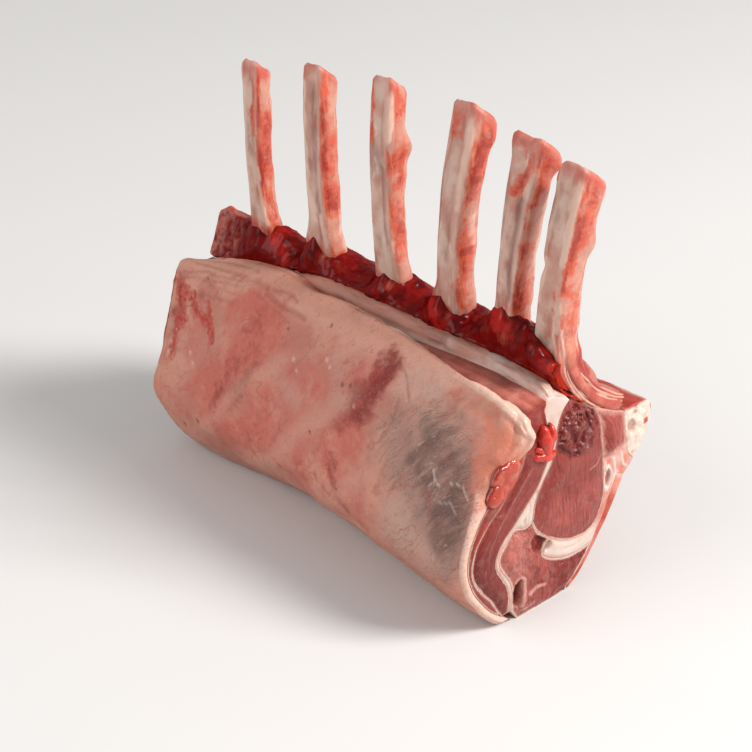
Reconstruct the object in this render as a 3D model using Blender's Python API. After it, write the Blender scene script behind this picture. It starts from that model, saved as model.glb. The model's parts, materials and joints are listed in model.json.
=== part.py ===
"""Raw frenched rack of lamb: six bare rib bones over a loin that stands on its back edge.

All sizes are in millimetres and turn into metres when a mesh is made. X runs along the loin, with the
clean cut at +X. -Y is the fat cap, +Y the sawn backbone, and the bare bones point up, along +Z. The meat
is drawn once, as a section across the loin at the clean cut. Each muscle, each layer of fat and the
backbone is one cell of that section, and its solid is the cell carried along the loin by place().
"""

import math

import bmesh
import bpy
import numpy as np

# Driving dimensions.
LENGTH = 170.0  # cut to cut
GAP = 0.4  # clear space between neighbouring pieces
SAMPLE = 6.0  # spacing of the points along a section line
STATIONS = 13  # sections along the loin
END_ROUND = 26.0  # length over which the far end closes in
END_SHRINK = 0.15  # how much smaller the section is at the far cut
SECTION_MIDDLE = (27.0, 42.0)  # the point that the far end closes in on
END_DROP = 4.0  # how much lower the top of the meat is at the far cut
LEAN = 14.0  # the fat cap bulges this much less at the far end
TUCK = 12.0  # the foot of the fat cap is drawn in by this much halfway along
LIP_RISE = 6.0  # the top of the fat cap is this much higher past the clean cut
RIDGE_RISE = 3.0  # and the ridge of fat behind it, this much
RISE_LENGTH = 22.0

# Rib bones, from the far end to the near one. Widths run along the loin.
RIB_FOOT_X = (-143.5, -112.0, -79.5, -51.0, -26.0, -7.0)
RIB_TIP_X = (-148.5, -117.5, -85.0, -47.5, -20.0, -1.0)
RIB_TIP_UP = (147.0, 153.5, 158.0, 159.5, 156.5, 153.0)
RIB_FOOT_WIDTH = (7.5, 10.0, 10.0, 10.5, 9.5, 11.5)
RIB_TIP_WIDTH = (8.0, 9.0, 9.8, 11.0, 11.5, 10.5)
RIB_THICKNESS = (7.6, 8.0, 8.2, 9.2, 9.4, 10.8)
ROOT_THICKNESS = 0.72  # of the bare bone's, where a rib runs under the meat
RIB_LEAVES_MEAT = 86.0  # height at which a rib starts to lean along the loin
RIB_SIDES = 10
RIB_STATIONS = 14
MEAT_SAG = 7.0  # how far the meat between two ribs sags below its ends
END_LUMP = 2.0  # how much higher it stands past the last rib

# Lines of the section at the clean cut, as (across, up). Most run from the top down.
FAT_OUTSIDE = [(9.5, 77.5), (4, 73.5), (-1.5, 66.5), (-7.5, 58.5), (-14, 47.5), (-18.6, 35), (-18.4, 26),
               (-14.5, 17), (-7, 7), (-0.5, 1.5), (6, 0.4)]
FAT_LIP_INSIDE = [(13.6, 75), (12.8, 69), (10.5, 63.5)]
FAT_INSIDE = [(10.5, 63.5), (3, 56.5), (-6, 49.5), (-12, 42.5), (-15.8, 34), (-15.6, 26), (-12, 18),
              (-5.5, 9.5), (0.5, 4.5)]
CAP_LINE = [(10.5, 63.5), (7, 55), (0, 47.8), (-7, 42), (-12, 36.5), (-14, 30), (-13, 24), (-9, 17.5),
            (-4, 11.5), (0.5, 4.5)]
SEAM_OUTSIDE = [(17.6, 75.5), (19.5, 69), (22, 62), (21.3, 55.5), (18, 49), (12, 42.5), (6, 37), (1, 33),
                (-2.3, 28), (-2.5, 24), (0, 19), (3, 14), (4, 9), (3.4, 4.6)]
RIDGE_TOP = [(17.6, 75.5), (18.2, 78.3), (20.8, 80.2), (24.5, 80), (27.4, 76.6), (30.5, 73.2)]
EYE_OUTSIDE = [(30.5, 73.2), (27.2, 70), (24.8, 65), (24.3, 58), (22.6, 52.5), (18.8, 47.5), (15.4, 41.5),
               (14, 34.5)]
LOWER_OUTSIDE = [(14, 34.5), (10.5, 33.6), (6.3, 35), (2.6, 32.5), (-0.9, 28), (-1, 24.3), (1.4, 19.5),
                 (4.6, 14.5), (5.8, 9), (5.2, 4.2)]
EYE_TOP = [(30.5, 73.2), (36, 69.8), (43, 65.4)]
EYE_INSIDE = [(43, 65.4), (46, 59.5), (47.6, 52), (48.4, 44)]
EYE_INSIDE_LOW = [(48.4, 44), (49.2, 37), (50, 31), (49.2, 26)]
EYE_FLOOR_FAT = [(49.2, 26), (46, 20.5), (39.5, 18.3), (29.5, 20.8), (22.5, 24.8)]
EYE_FLOOR_MEAT = [(22.5, 24.8), (17, 29.3), (14, 34.5)]
LOWER_TOP = [(22.5, 24.8), (20.2, 19.5), (28, 14.8), (37, 12.8), (45, 13.8)]
STRAP_INSIDE = [(56, 35.5), (53, 29), (50, 21.5), (45, 13.8)]
STRAP_INSIDE_LOW = [(45, 13.8), (41, 9), (36.8, 4.8), (33, 2)]
STRAP_OUTSIDE = [(60, 33.5), (56, 26), (51.5, 19), (47, 13), (42, 7.3), (38, 3.2), (33.6, 0.3)]
UNDERSIDE = [(32, 0), (8, 0)]
CHINE_TOP = [(43, 65.4), (50, 61.4), (58.6, 58)]
CHINE_INSIDE = [(58.6, 58), (59.6, 52), (60.5, 45)]
CHINE_FOOT = [(60.5, 45), (61.8, 40.5), (64.5, 37.5)]
CHINE_FLOOR = [(60.5, 45), (54, 43), (48.4, 44)]
CHINE_BACK = [(58.6, 58), (65.5, 58.6), (71.6, 56.5), (72.5, 51), (70.3, 44.5), (64.5, 37.5)]
RIB_MEAT_TOP = [(24.5, 80), (26, 83), (29, 85.6), (33.5, 86.6), (38.5, 84.5), (44, 79.5), (50.5, 74.5),
                (56.5, 70.4), (60.5, 66), (60.8, 61.5), (58.6, 58.6)]
RIB_LINE = [(57, 62.8), (51, 65.8), (44.5, 69.6), (38.5, 73.8), (33.6, 79), (30.8, 86), (29.4, 95),
            (28.8, 106), (28.9, 119), (29.9, 133), (32, 147), (34.8, 161)]

# Colours, as linear RGB.
FAT_PINK = (0.50, 0.25, 0.18)
FAT_WHITE = (0.72, 0.52, 0.43)
MUSCLE_RED = (0.35, 0.10, 0.08)
MUSCLE_DARK = (0.20, 0.02, 0.02)
BONE = (0.55, 0.33, 0.26)
STRAP_RED = (0.55, 0.13, 0.08)


def smooth(start, end, value):
    """0 at start, 1 at end, with no corner at either."""
    share = min(max((value - start) / (end - start), 0.0), 1.0)
    return share * share * (3 - 2 * share)


def spline(points, count):
    """count points evenly spaced along a Catmull-Rom curve through the given ones."""
    points = np.array(points, float)
    ends = np.vstack([2 * points[0] - points[1], points, 2 * points[-1] - points[-2]])
    fine = []
    for before, start, end, after in zip(ends, ends[1:], ends[2:], ends[3:]):
        for t in np.linspace(0, 1, 12, endpoint=False):
            fine.append(0.5 * (2 * start + (end - before) * t
                               + (2 * before - 5 * start + 4 * end - after) * t ** 2
                               + (3 * start - before - 3 * end + after) * t ** 3))
    fine = np.array(fine + [points[-1]])
    run = np.concatenate([[0], np.cumsum(np.linalg.norm(np.diff(fine, axis=0), axis=1))])
    even = np.linspace(0, run[-1], count)
    return np.column_stack([np.interp(even, run, fine[:, axis]) for axis in range(fine.shape[1])])


def line(points, spacing=SAMPLE):
    """A section line as evenly spaced points. The same points always give the same samples."""
    length = np.linalg.norm(np.diff(np.array(points, float), axis=0), axis=1).sum()
    return spline(points, max(3, round(length / spacing) + 1))


def outline(*lines):
    """A closed outline from lines that meet end to end, each point once."""
    points = []
    for part in lines:
        for point in part:
            if not points or np.linalg.norm(point - points[-1]) > 0.8:
                points.append(point)
    if np.linalg.norm(points[0] - points[-1]) < 0.8:
        points.pop()
    return np.array(points)


def turns_left(points):
    following = np.roll(points, -1, axis=0)
    return (points[:, 0] * following[:, 1] - following[:, 0] * points[:, 1]).sum() > 0


def inset(points, distance):
    """The outline moved in by distance, the same on all sides."""
    if not turns_left(points):
        points = points[::-1]
    forward = np.roll(points, -1, axis=0) - points
    forward /= np.linalg.norm(forward, axis=1)[:, None]
    normal = np.column_stack([-forward[:, 1], forward[:, 0]])
    corner = normal + np.roll(normal, 1, axis=0)
    length = np.maximum((corner ** 2).sum(axis=1) / 2, 0.45)
    return points + corner * (distance / length)[:, None]


def place(x, across, up):
    """Carries a point of the section to station x of the loin, which is 0 at the clean cut."""
    along = -x / LENGTH
    front = smooth(45, -5, across)
    low = max(0.0, 1 - up / 80) ** 1.3
    belly = 0.6 + 0.4 * math.sin(math.pi * min(max(up / 80, 0), 1))
    across += front * LEAN * belly * smooth(0.3, 1, along)
    across += front * TUCK * low * math.sin(math.pi * min(along, 1)) ** 2
    past_cut = 1 - math.exp(x / RISE_LENGTH)
    rise = RIDGE_RISE + (LIP_RISE - RIDGE_RISE) * smooth(20, 10, across)
    up += rise * past_cut * smooth(35, 75, up) * smooth(60, 40, across)
    up -= END_DROP * smooth(0.45, 1, along) * min(up / 80, 1)
    closing = max(0.0, (-x - LENGTH + END_ROUND) / END_ROUND)
    shrink = END_SHRINK * (1 - math.sqrt(max(0.0, 1 - min(closing, 1) ** 2)))
    across += shrink * (SECTION_MIDDLE[0] - across)
    up += shrink * (SECTION_MIDDLE[1] - up)
    return x, across, up


def stations():
    """Even steps along the loin, with closer ones where the far end rounds off."""
    straight = np.linspace(0, END_ROUND - LENGTH, STATIONS - 4)
    turning = [END_ROUND - LENGTH - END_ROUND * math.sin(math.radians(a)) for a in (25, 48, 70, 90)]
    return list(straight) + turning


def solid(name, rings, colour, roughness):
    """One closed mesh through rings of points, capped at both ends, as an object with its own material."""
    mesh = bpy.data.meshes.new(name)
    shape = bmesh.new()
    rows = [[shape.verts.new([c / 1000 for c in point]) for point in ring] for ring in rings]
    for near, far in zip(rows, rows[1:]):
        for i in range(len(near)):
            j = (i + 1) % len(near)
            shape.faces.new((near[i], near[j], far[j], far[i]))
    shape.faces.new(rows[0])
    shape.faces.new(rows[-1])
    bmesh.ops.recalc_face_normals(shape, faces=shape.faces)
    bmesh.ops.triangulate(shape, faces=[f for f in shape.faces if len(f.verts) > 4])
    shape.to_mesh(mesh)
    shape.free()
    mesh.shade_smooth()
    mesh.set_sharp_from_angle(angle=math.radians(40))
    surface = bpy.data.materials.new(name)
    surface.use_nodes = True
    shader = surface.node_tree.nodes["Principled BSDF"]
    shader.inputs["Base Color"].default_value = (*colour, 1)
    shader.inputs["Roughness"].default_value = roughness
    shader.inputs["Metallic"].default_value = 0
    mesh.materials.append(surface)
    piece = bpy.data.objects.new(name, mesh)
    bpy.context.scene.collection.objects.link(piece)
    return piece


def run_through(name, cell, colour, roughness=0.4):
    """A cell of the section, carried from the clean cut to the far one."""
    cell = inset(cell, GAP / 2)
    return solid(name, [[place(x, *point) for point in cell] for x in stations()], colour, roughness)


def build_fat():
    cell = outline(line(FAT_OUTSIDE), line([(6, 0.4), (0.5, 4.5)]), line(FAT_INSIDE)[::-1],
                   line(FAT_LIP_INSIDE)[::-1])
    run_through("fat_cap", cell, FAT_PINK)
    cell = outline(line(RIDGE_TOP, 3), line(EYE_OUTSIDE), line(LOWER_OUTSIDE), line(SEAM_OUTSIDE)[::-1])
    run_through("seam_fat", cell, FAT_WHITE)
    cell = outline(line(EYE_FLOOR_FAT), line(LOWER_TOP), line(STRAP_INSIDE)[::-1][:-2],)
    run_through("fat_under_eye", cell, FAT_WHITE)
    cell = outline(line(EYE_INSIDE_LOW), line(STRAP_INSIDE)[::-1][-3:], line([(60, 33.5), (64.5, 37.5)]),
                   line(CHINE_FOOT)[::-1], line(CHINE_FLOOR))
    run_through("fat_by_chine", cell, FAT_WHITE)


def build_muscles():
    outside, inside = line(FAT_INSIDE), line(CAP_LINE)
    run_through("cap_muscle_outer", outline(outside[1:-1], inside[1:-1][::-1]), MUSCLE_RED)
    cell = outline(line(SEAM_OUTSIDE), inside[::-1], line(FAT_LIP_INSIDE)[::-1])
    run_through("cap_muscle_inner", cell, MUSCLE_RED)
    cell = outline(line(EYE_TOP), line(EYE_INSIDE), line(EYE_INSIDE_LOW), line(EYE_FLOOR_FAT),
                   line(EYE_FLOOR_MEAT), line(EYE_OUTSIDE)[::-1])
    run_through("loin_eye", cell, MUSCLE_RED)
    cell = outline(line(EYE_FLOOR_MEAT)[::-1], line(LOWER_TOP), line(STRAP_INSIDE_LOW), line(UNDERSIDE),
                   line(LOWER_OUTSIDE)[::-1])
    run_through("lower_muscle", cell, MUSCLE_RED)
    cell = outline(line(CHINE_TOP), line(CHINE_INSIDE), line(CHINE_FLOOR), line(EYE_INSIDE)[::-1])
    run_through("chine_muscle", cell, MUSCLE_RED)


def build_back():
    cell = outline(line(CHINE_BACK), line(CHINE_FOOT)[::-1], line(CHINE_INSIDE)[::-1])
    run_through("chine_bone", cell, BONE)
    cell = outline(line(STRAP_OUTSIDE), line(STRAP_INSIDE_LOW)[::-1], line(STRAP_INSIDE)[::-1])
    run_through("back_strap", cell, STRAP_RED)


def rib_ring(number, centre, direction, width):
    """A rounded oblong across the rib: width along the loin, thickness square to the rib's own line."""
    thickness = RIB_THICKNESS[number] * (ROOT_THICKNESS + (1 - ROOT_THICKNESS) * smooth(74, 88, centre[2]))
    outward = np.array([0.0, -direction[2], direction[1]]) / math.hypot(direction[1], direction[2])
    ring = []
    for turn in np.arange(RIB_SIDES) * 2 * math.pi / RIB_SIDES:
        c, s = math.cos(turn), math.sin(turn)
        along = width / 2 * math.copysign(abs(c) ** 0.6, c)
        out = thickness / 2 * math.copysign(abs(s) ** 0.6, s)
        ring.append(np.array(centre) + along * np.array([1.0, 0.0, 0.0]) + out * outward)
    return ring


def build_rib(number):
    path = np.array([place(RIB_FOOT_X[number], *point) for point in spline(RIB_LINE, 120)])
    path = path[path[:, 2] < RIB_TIP_UP[number]]
    path = path[np.linspace(0, len(path) - 1, RIB_STATIONS).round().astype(int)]
    bare_length = RIB_TIP_UP[number] - RIB_LEAVES_MEAT
    out_of_meat = np.clip((path[:, 2] - RIB_LEAVES_MEAT) / bare_length, 0, 1) ** 1.2
    path[:, 0] += (RIB_TIP_X[number] - RIB_FOOT_X[number]) * out_of_meat
    widths = RIB_FOOT_WIDTH[number] + (RIB_TIP_WIDTH[number] - RIB_FOOT_WIDTH[number]) * out_of_meat
    rings = []
    for point, step, width in zip(path, np.gradient(path, axis=0), widths):
        waist = 1 - 0.12 * smooth(92, 104, point[2]) * smooth(140, 115, point[2])
        rings.append(rib_ring(number, point, step, width * waist))
    solid(f"rib_{number + 1}", rings, BONE, 0.45)


def build_rib_meat(number):
    """The meat on the far side of one rib, up to the rib before it or to the far cut."""
    near = RIB_FOOT_X[number] - RIB_FOOT_WIDTH[number] / 2 - GAP
    far = -LENGTH
    if number:
        far = RIB_FOOT_X[number - 1] + RIB_FOOT_WIDTH[number - 1] / 2 + GAP
    floor = outline(line(CHINE_TOP)[::-1], line(EYE_TOP)[::-1], line(RIDGE_TOP, 3)[::-1][:-4])
    cell = inset(outline(line(RIB_MEAT_TOP), floor), GAP)
    shared = [x for x in stations() if far + 1 < x < near - 1]
    rings = []
    middle = [(near + far) / 2] if number else []
    for x in sorted([near, far, *middle, *shared]):
        sag = MEAT_SAG * math.sin(math.pi * (x - near) / (far - near)) if number else -END_LUMP
        ring = []
        for across, up in cell:
            height = smooth(81, 86, up) * smooth(48, 38, across)
            ring.append(place(x, across, up - sag * height))
        rings.append(ring)
    solid(f"rib_meat_{number + 1}", rings, MUSCLE_DARK, 0.25)


def build_tag(name, centre, half_sizes, colour):
    """A small soft lump lying on the clean cut, with a flat back."""
    across, up = centre
    half_width, half_height, bulge = half_sizes
    rings = []
    for level in (0, 0.4, 0.75, 0.95):
        size = math.sqrt(1 - level ** 2)
        turns = np.arange(12) * math.pi / 6
        rings.append([(GAP + bulge * level, across + half_width * size * math.cos(turn),
                       up + half_height * size * math.sin(turn)) for turn in turns])
    solid(name, rings, colour, 0.25)


def stand_on_origin():
    """Moves the model so that the middle of its underside is the origin."""
    pieces = [piece for piece in bpy.context.scene.collection.objects if piece.type == "MESH"]
    corners = np.array([vertex.co for piece in pieces for vertex in piece.data.vertices])
    low, high = corners.min(axis=0), corners.max(axis=0)
    middle = np.array([(low[0] + high[0]) / 2, (low[1] + high[1]) / 2, low[2]])
    for piece in pieces:
        for vertex in piece.data.vertices:
            vertex.co = np.array(vertex.co) - middle
    print("shift in mm:", (-middle * 1000).round(3), "size:", ((high - low) * 1000).round(2))


def main():
    for item in list(bpy.data.objects):
        bpy.data.objects.remove(item)
    build_fat()
    build_muscles()
    build_back()
    for number in range(len(RIB_FOOT_X)):
        build_rib(number)
        build_rib_meat(number)
    build_tag("red_tag", (17.5, 64), (4.5, 8.5, 4), STRAP_RED)
    build_tag("fat_tag", (2, 55), (6.5, 5.5, 3), STRAP_RED)
    stand_on_origin()


main()
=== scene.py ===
# %% [markdown]
# # A raw frenched rack of lamb
# Six bare ribs stand on a loin of meat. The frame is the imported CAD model: every piece built here lies in
# the same space as one of its solids and takes its place. The startup scene is emptied first, because
# loading the frame does not do that.

# %% Load the frame
import bpy
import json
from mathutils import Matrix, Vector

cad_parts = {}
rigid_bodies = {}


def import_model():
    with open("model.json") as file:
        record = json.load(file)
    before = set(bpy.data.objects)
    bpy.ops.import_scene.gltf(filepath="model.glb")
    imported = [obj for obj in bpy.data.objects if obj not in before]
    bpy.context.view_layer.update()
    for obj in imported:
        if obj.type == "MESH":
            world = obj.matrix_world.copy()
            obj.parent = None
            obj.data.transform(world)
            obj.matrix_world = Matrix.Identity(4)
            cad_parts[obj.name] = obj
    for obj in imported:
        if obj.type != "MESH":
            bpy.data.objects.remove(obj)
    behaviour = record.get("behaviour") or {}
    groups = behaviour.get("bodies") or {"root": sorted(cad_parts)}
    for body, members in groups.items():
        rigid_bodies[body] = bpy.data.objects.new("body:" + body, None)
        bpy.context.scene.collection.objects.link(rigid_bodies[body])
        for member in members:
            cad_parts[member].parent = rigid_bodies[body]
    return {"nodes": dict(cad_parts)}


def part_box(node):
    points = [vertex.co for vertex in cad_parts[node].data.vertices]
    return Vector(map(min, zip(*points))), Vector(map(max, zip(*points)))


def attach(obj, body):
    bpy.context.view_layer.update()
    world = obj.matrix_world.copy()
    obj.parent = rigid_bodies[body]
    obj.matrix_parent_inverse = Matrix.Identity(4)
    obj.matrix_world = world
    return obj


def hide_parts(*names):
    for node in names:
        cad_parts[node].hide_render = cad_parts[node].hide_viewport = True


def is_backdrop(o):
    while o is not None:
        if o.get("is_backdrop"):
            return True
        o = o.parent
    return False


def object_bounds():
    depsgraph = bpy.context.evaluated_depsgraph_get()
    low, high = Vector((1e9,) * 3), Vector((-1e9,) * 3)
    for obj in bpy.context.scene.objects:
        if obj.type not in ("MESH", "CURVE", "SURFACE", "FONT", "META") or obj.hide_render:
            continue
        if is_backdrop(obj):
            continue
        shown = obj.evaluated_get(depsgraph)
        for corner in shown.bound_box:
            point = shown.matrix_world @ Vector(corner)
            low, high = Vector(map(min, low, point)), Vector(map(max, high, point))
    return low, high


for item in list(bpy.data.objects):
    bpy.data.objects.remove(item)
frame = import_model()
cad_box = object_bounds()
print("frame:", len(frame["nodes"]), "nodes, box",
      [tuple(round(c, 4) for c in corner) for corner in cad_box])

# %% [markdown]
# ## Tools for shapes
# Meat could be sculpted by hand, but then it would not come out the same each time. So a shape here is a
# cloud of points held in arrays, and sculpting is sums on those arrays. Three helpers do most of it: a
# soft step, a curve through a few drawn points, and smooth random lumps that never change between runs.

# %% Soft step, curve and lumps
import itertools
import json
import math
import numpy as np
from mathutils import Vector, geometry


def smooth(start, end, value):
    """0 at start, 1 at end, with no corner at either."""
    share = np.clip((np.asarray(value, float) - start) / (end - start), 0, 1)
    return share * share * (3 - 2 * share)


def hump(value, middle, width):
    """1 at middle, falling off smoothly over width on both sides."""
    return np.exp(-((value - middle) / width) ** 2)


def unit(ways):
    """The same directions, each with a length of 1."""
    return ways / np.linalg.norm(ways, axis=1)[:, None]


def travelled(points):
    """How far along a line each of its points lies."""
    return np.concatenate([[0], np.cumsum(np.linalg.norm(np.diff(points, axis=0), axis=1))])


def full_turn(count):
    """count even angles all the way round, in radians."""
    return np.arange(count) * 2 * math.pi / count


def spline(points, count):
    """count points evenly spaced along a curve through the given ones."""
    points = np.array(points, float)
    ends = np.vstack([2 * points[0] - points[1], points, 2 * points[-1] - points[-2]])
    fine = []
    for before, start, end, after in zip(ends, ends[1:], ends[2:], ends[3:]):
        for t in np.linspace(0, 1, 24, endpoint=False):
            fine.append(0.5 * (2 * start + (end - before) * t
                               + (2 * before - 5 * start + 4 * end - after) * t ** 2
                               + (3 * start - before - 3 * end + after) * t ** 3))
    fine = np.array(fine + [points[-1]])
    run = travelled(fine)
    even = np.linspace(0, run[-1], count)
    return np.column_stack([np.interp(even, run, fine[:, axis]) for axis in range(fine.shape[1])])


TABLE = 24  # random values along each side of the table that lumps are read from
FINER, WEAKER = 1.9, 0.55  # each octave of lumps against the one before


def lumps(at, size, seed, octaves=1):
    """Smooth random values from about -1 to 1 that change over size millimetres."""
    total, reach = 0, 0
    for octave in range(octaves):
        table = np.random.default_rng(seed * 7 + octave).uniform(-1, 1, (TABLE, TABLE, TABLE))
        scaled = np.asarray(at, float) * FINER ** octave / size + 11.37 * seed
        cell = np.floor(scaled).astype(int)
        share = scaled - cell
        share = share * share * (3 - 2 * share)
        part = 0
        for corner in itertools.product((0, 1), repeat=3):
            weight = np.prod(np.where(corner, share, 1 - share), axis=-1)
            index = (cell + corner) % TABLE
            part = part + weight * table[index[..., 0], index[..., 1], index[..., 2]]
        total = total + part * WEAKER ** octave
        reach += WEAKER ** octave
    return total / reach


print("a curve through three points:", spline([(0, 0), (10, 4), (20, 0)], 5).round(1).tolist())

# %% [markdown]
# ## The section of the loin
# A loin is nearly the same all along, so it is drawn once, as a cut across it. Numbers are millimetres:
# the first is how far from the fat side, the second is how high. Neighbouring pieces share a line, so
# nothing gapes between them. These are the CAD solids' own lines, sampled much more finely.

# %% Lines of the section
FAT_OUTSIDE = [(9.5, 77.5), (4, 73.5), (-1.5, 66.5), (-7.5, 58.5), (-14, 47.5), (-18.6, 35), (-18.4, 26),
               (-14.5, 17), (-7, 7), (-0.5, 1.5), (6, 0.4)]
FAT_LIP_INSIDE = [(13.6, 75), (12.8, 69), (10.5, 63.5)]
FAT_INSIDE = [(10.5, 63.5), (3, 56.5), (-6, 49.5), (-12, 42.5), (-15.8, 34), (-15.6, 26), (-12, 18),
              (-5.5, 9.5), (0.5, 4.5)]
CAP_LINE = [(10.5, 63.5), (7, 55), (0, 47.8), (-7, 42), (-12, 36.5), (-14, 30), (-13, 24), (-9, 17.5),
            (-4, 11.5), (0.5, 4.5)]
SEAM_OUTSIDE = [(17.6, 75.5), (19.5, 69), (22, 62), (21.3, 55.5), (18, 49), (12, 42.5), (6, 37), (1, 33),
                (-2.3, 28), (-2.5, 24), (0, 19), (3, 14), (4, 9), (3.4, 4.6)]
RIDGE_TOP = [(17.6, 75.5), (18.2, 78.3), (20.8, 80.2), (24.5, 80), (27.4, 76.6), (30.5, 73.2)]
EYE_OUTSIDE = [(30.5, 73.2), (27.2, 70), (24.8, 65), (24.3, 58), (22.6, 52.5), (18.8, 47.5), (15.4, 41.5),
               (14, 34.5)]
LOWER_OUTSIDE = [(14, 34.5), (10.5, 33.6), (6.3, 35), (2.6, 32.5), (-0.9, 28), (-1, 24.3), (1.4, 19.5),
                 (4.6, 14.5), (5.8, 9), (5.2, 4.2)]
EYE_TOP = [(30.5, 73.2), (36, 69.8), (43, 65.4)]
EYE_INSIDE = [(43, 65.4), (46, 59.5), (47.6, 52), (48.4, 44)]
EYE_INSIDE_LOW = [(48.4, 44), (49.2, 37), (50, 31), (49.2, 26)]
EYE_FLOOR_FAT = [(49.2, 26), (46, 20.5), (39.5, 18.3), (29.5, 20.8), (22.5, 24.8)]
EYE_FLOOR_MEAT = [(22.5, 24.8), (17, 29.3), (14, 34.5)]
LOWER_TOP = [(22.5, 24.8), (20.2, 19.5), (28, 14.8), (37, 12.8), (45, 13.8)]
STRAP_INSIDE = [(56, 35.5), (53, 29), (50, 21.5), (45, 13.8)]
STRAP_INSIDE_LOW = [(45, 13.8), (41, 9), (36.8, 4.8), (33, 2)]
STRAP_OUTSIDE = [(60, 33.5), (56, 26), (51.5, 19), (47, 13), (42, 7.3), (38, 3.2), (33.6, 0.3)]
UNDERSIDE = [(32, 0), (8, 0)]
CHINE_TOP = [(43, 65.4), (50, 61.4), (58.6, 58)]
CHINE_INSIDE = [(58.6, 58), (59.6, 52), (60.5, 45)]
CHINE_FOOT = [(60.5, 45), (61.8, 40.5), (64.5, 37.5)]
CHINE_FLOOR = [(60.5, 45), (54, 43), (48.4, 44)]
CHINE_BACK = [(58.6, 58), (65.5, 58.6), (71.6, 56.5), (72.5, 51), (70.3, 44.5), (64.5, 37.5)]
RIB_MEAT_TOP = [(24.5, 80), (26, 83), (29, 85.6), (33.5, 86.6), (38.5, 84.5), (44, 79.5), (50.5, 74.5),
                (56.5, 70.4), (60.5, 66), (60.8, 61.5), (58.6, 58.6)]
RIB_LINE = [(57, 62.8), (51, 65.8), (44.5, 69.6), (38.5, 73.8), (33.6, 79), (30.8, 86), (29.4, 95),
            (28.8, 106), (28.9, 119), (29.9, 133), (32, 147), (34.8, 161)]
SAMPLE = 1.0  # spacing of the points along a line


def line(points, spacing=SAMPLE):
    """A section line as evenly spaced points. The same points always give the same samples."""
    return spline(points, max(3, round(travelled(points)[-1] / spacing) + 1))


def outline(*lines):
    """A closed outline from lines that meet end to end, turning left, each point once."""
    points = []
    for part in lines:
        for point in part:
            if not points or np.linalg.norm(point - points[-1]) > 0.3:
                points.append(np.array(point, float))
    if np.linalg.norm(points[0] - points[-1]) < 0.3:
        points.pop()
    points = np.array(points)
    following = np.roll(points, -1, axis=0)
    turn = (points[:, 0] * following[:, 1] - following[:, 0] * points[:, 1]).sum()
    return points if turn > 0 else points[::-1]


def inset(points, distance):
    """The outline moved in by distance, the same on all sides."""
    forward = unit(np.roll(points, -1, axis=0) - points)
    normal = np.column_stack([-forward[:, 1], forward[:, 0]])
    corner = normal + np.roll(normal, 1, axis=0)
    length = np.maximum((corner ** 2).sum(axis=1) / 2, 0.45)
    return points + corner * (distance / length)[:, None]


print("fat cap outside line:", len(line(FAT_OUTSIDE)), "points")

# %% [markdown]
# ## Along the loin
# One rule carries a point of the section along the loin. The fat cap bulges less at the far end, its foot
# tucks in, the top rises past the clean cut and the far end closes in. A real loin is also never quite
# even, so the rule lets all lines wander by half a millimetre, neighbours together.

# %% Carry the section along the loin
LENGTH = 170.0
END_ROUND, END_SHRINK, SECTION_MIDDLE = 26.0, 0.15, (27.0, 42.0)
END_DROP, LEAN, TUCK = 4.0, 14.0, 12.0
LIP_RISE, RIDGE_RISE, RISE_LENGTH = 6.0, 3.0, 22.0
WANDER, WANDER_SIZE = 0.55, 9.0


def place(x, across, up, wander=WANDER):
    """Section points carried to station x, in millimetres. x is 0 at the clean cut and falls behind it."""
    x, across, up = (np.array(v, float) for v in np.broadcast_arrays(x, across, up))
    seen_from = np.stack([x * 0.22, across, up], axis=-1)
    loose = wander * smooth(0, 9, up)
    across = across + loose * lumps(seen_from, WANDER_SIZE, 3, 2)
    up = up + loose * lumps(seen_from, WANDER_SIZE, 4, 2)
    along = np.clip(-x / LENGTH, 0, None)
    front = smooth(45, -5, across)
    low = np.clip(1 - up / 80, 0, None) ** 1.3
    belly = 0.6 + 0.4 * np.sin(math.pi * np.clip(up / 80, 0, 1))
    across = across + front * LEAN * belly * smooth(0.3, 1, along)
    across = across + front * TUCK * low * np.sin(math.pi * np.minimum(along, 1)) ** 2
    across = across + front * smooth(0.66, 0.96, along) * (2.4 * hump(up, 40, 13) - 1.8 * hump(up, 69, 8))
    past_cut = 1 - np.exp(np.minimum(x, 0) / RISE_LENGTH)
    rise = RIDGE_RISE + (LIP_RISE - RIDGE_RISE) * smooth(20, 10, across)
    up = up + rise * past_cut * smooth(35, 75, up) * smooth(60, 40, across)
    up = up - END_DROP * smooth(0.45, 1, along) * np.minimum(up / 80, 1)
    closing = np.clip((-x - LENGTH + END_ROUND) / END_ROUND, 0, 1)
    shrink = END_SHRINK * (1 - np.sqrt(1 - closing ** 2))
    across = across + shrink * (SECTION_MIDDLE[0] - across)
    up = up + shrink * (SECTION_MIDDLE[1] - up)
    return np.stack([x, across, up], axis=-1)


PER_METRE = 1000  # shapes are drawn in millimetres, and Blender holds metres
CAD_GAP = 0.2  # each CAD solid stops this short of its line
chine_outline = outline(line(CHINE_BACK), line(CHINE_FOOT)[::-1], line(CHINE_INSIDE)[::-1])
shift = np.array([
    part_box("lower_muscle")[1].x * PER_METRE,
    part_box("chine_bone")[1].y * PER_METRE - (chine_outline[:, 0].max() - CAD_GAP),
    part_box("lower_muscle")[0].z * PER_METRE - CAD_GAP,
])
print("from the section to the frame, in millimetres:", shift.round(3))

# %% [markdown]
# ## A cut piece
# A muscle is a closed skin: long sides that touch its neighbours, and two cut faces. A cut face needs far
# finer points than a side, because its wet bumps and fibres show, so it gets its own net of small
# triangles joined to the last ring of the sides. The class below keeps the points of one piece together
# with its marks. A mark is one number a point, such as how bloody it is, and the finish reads it later.

# %% Points, faces and marks of one piece
MOST_MARK = 400  # a mark is kept within this, either way


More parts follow.
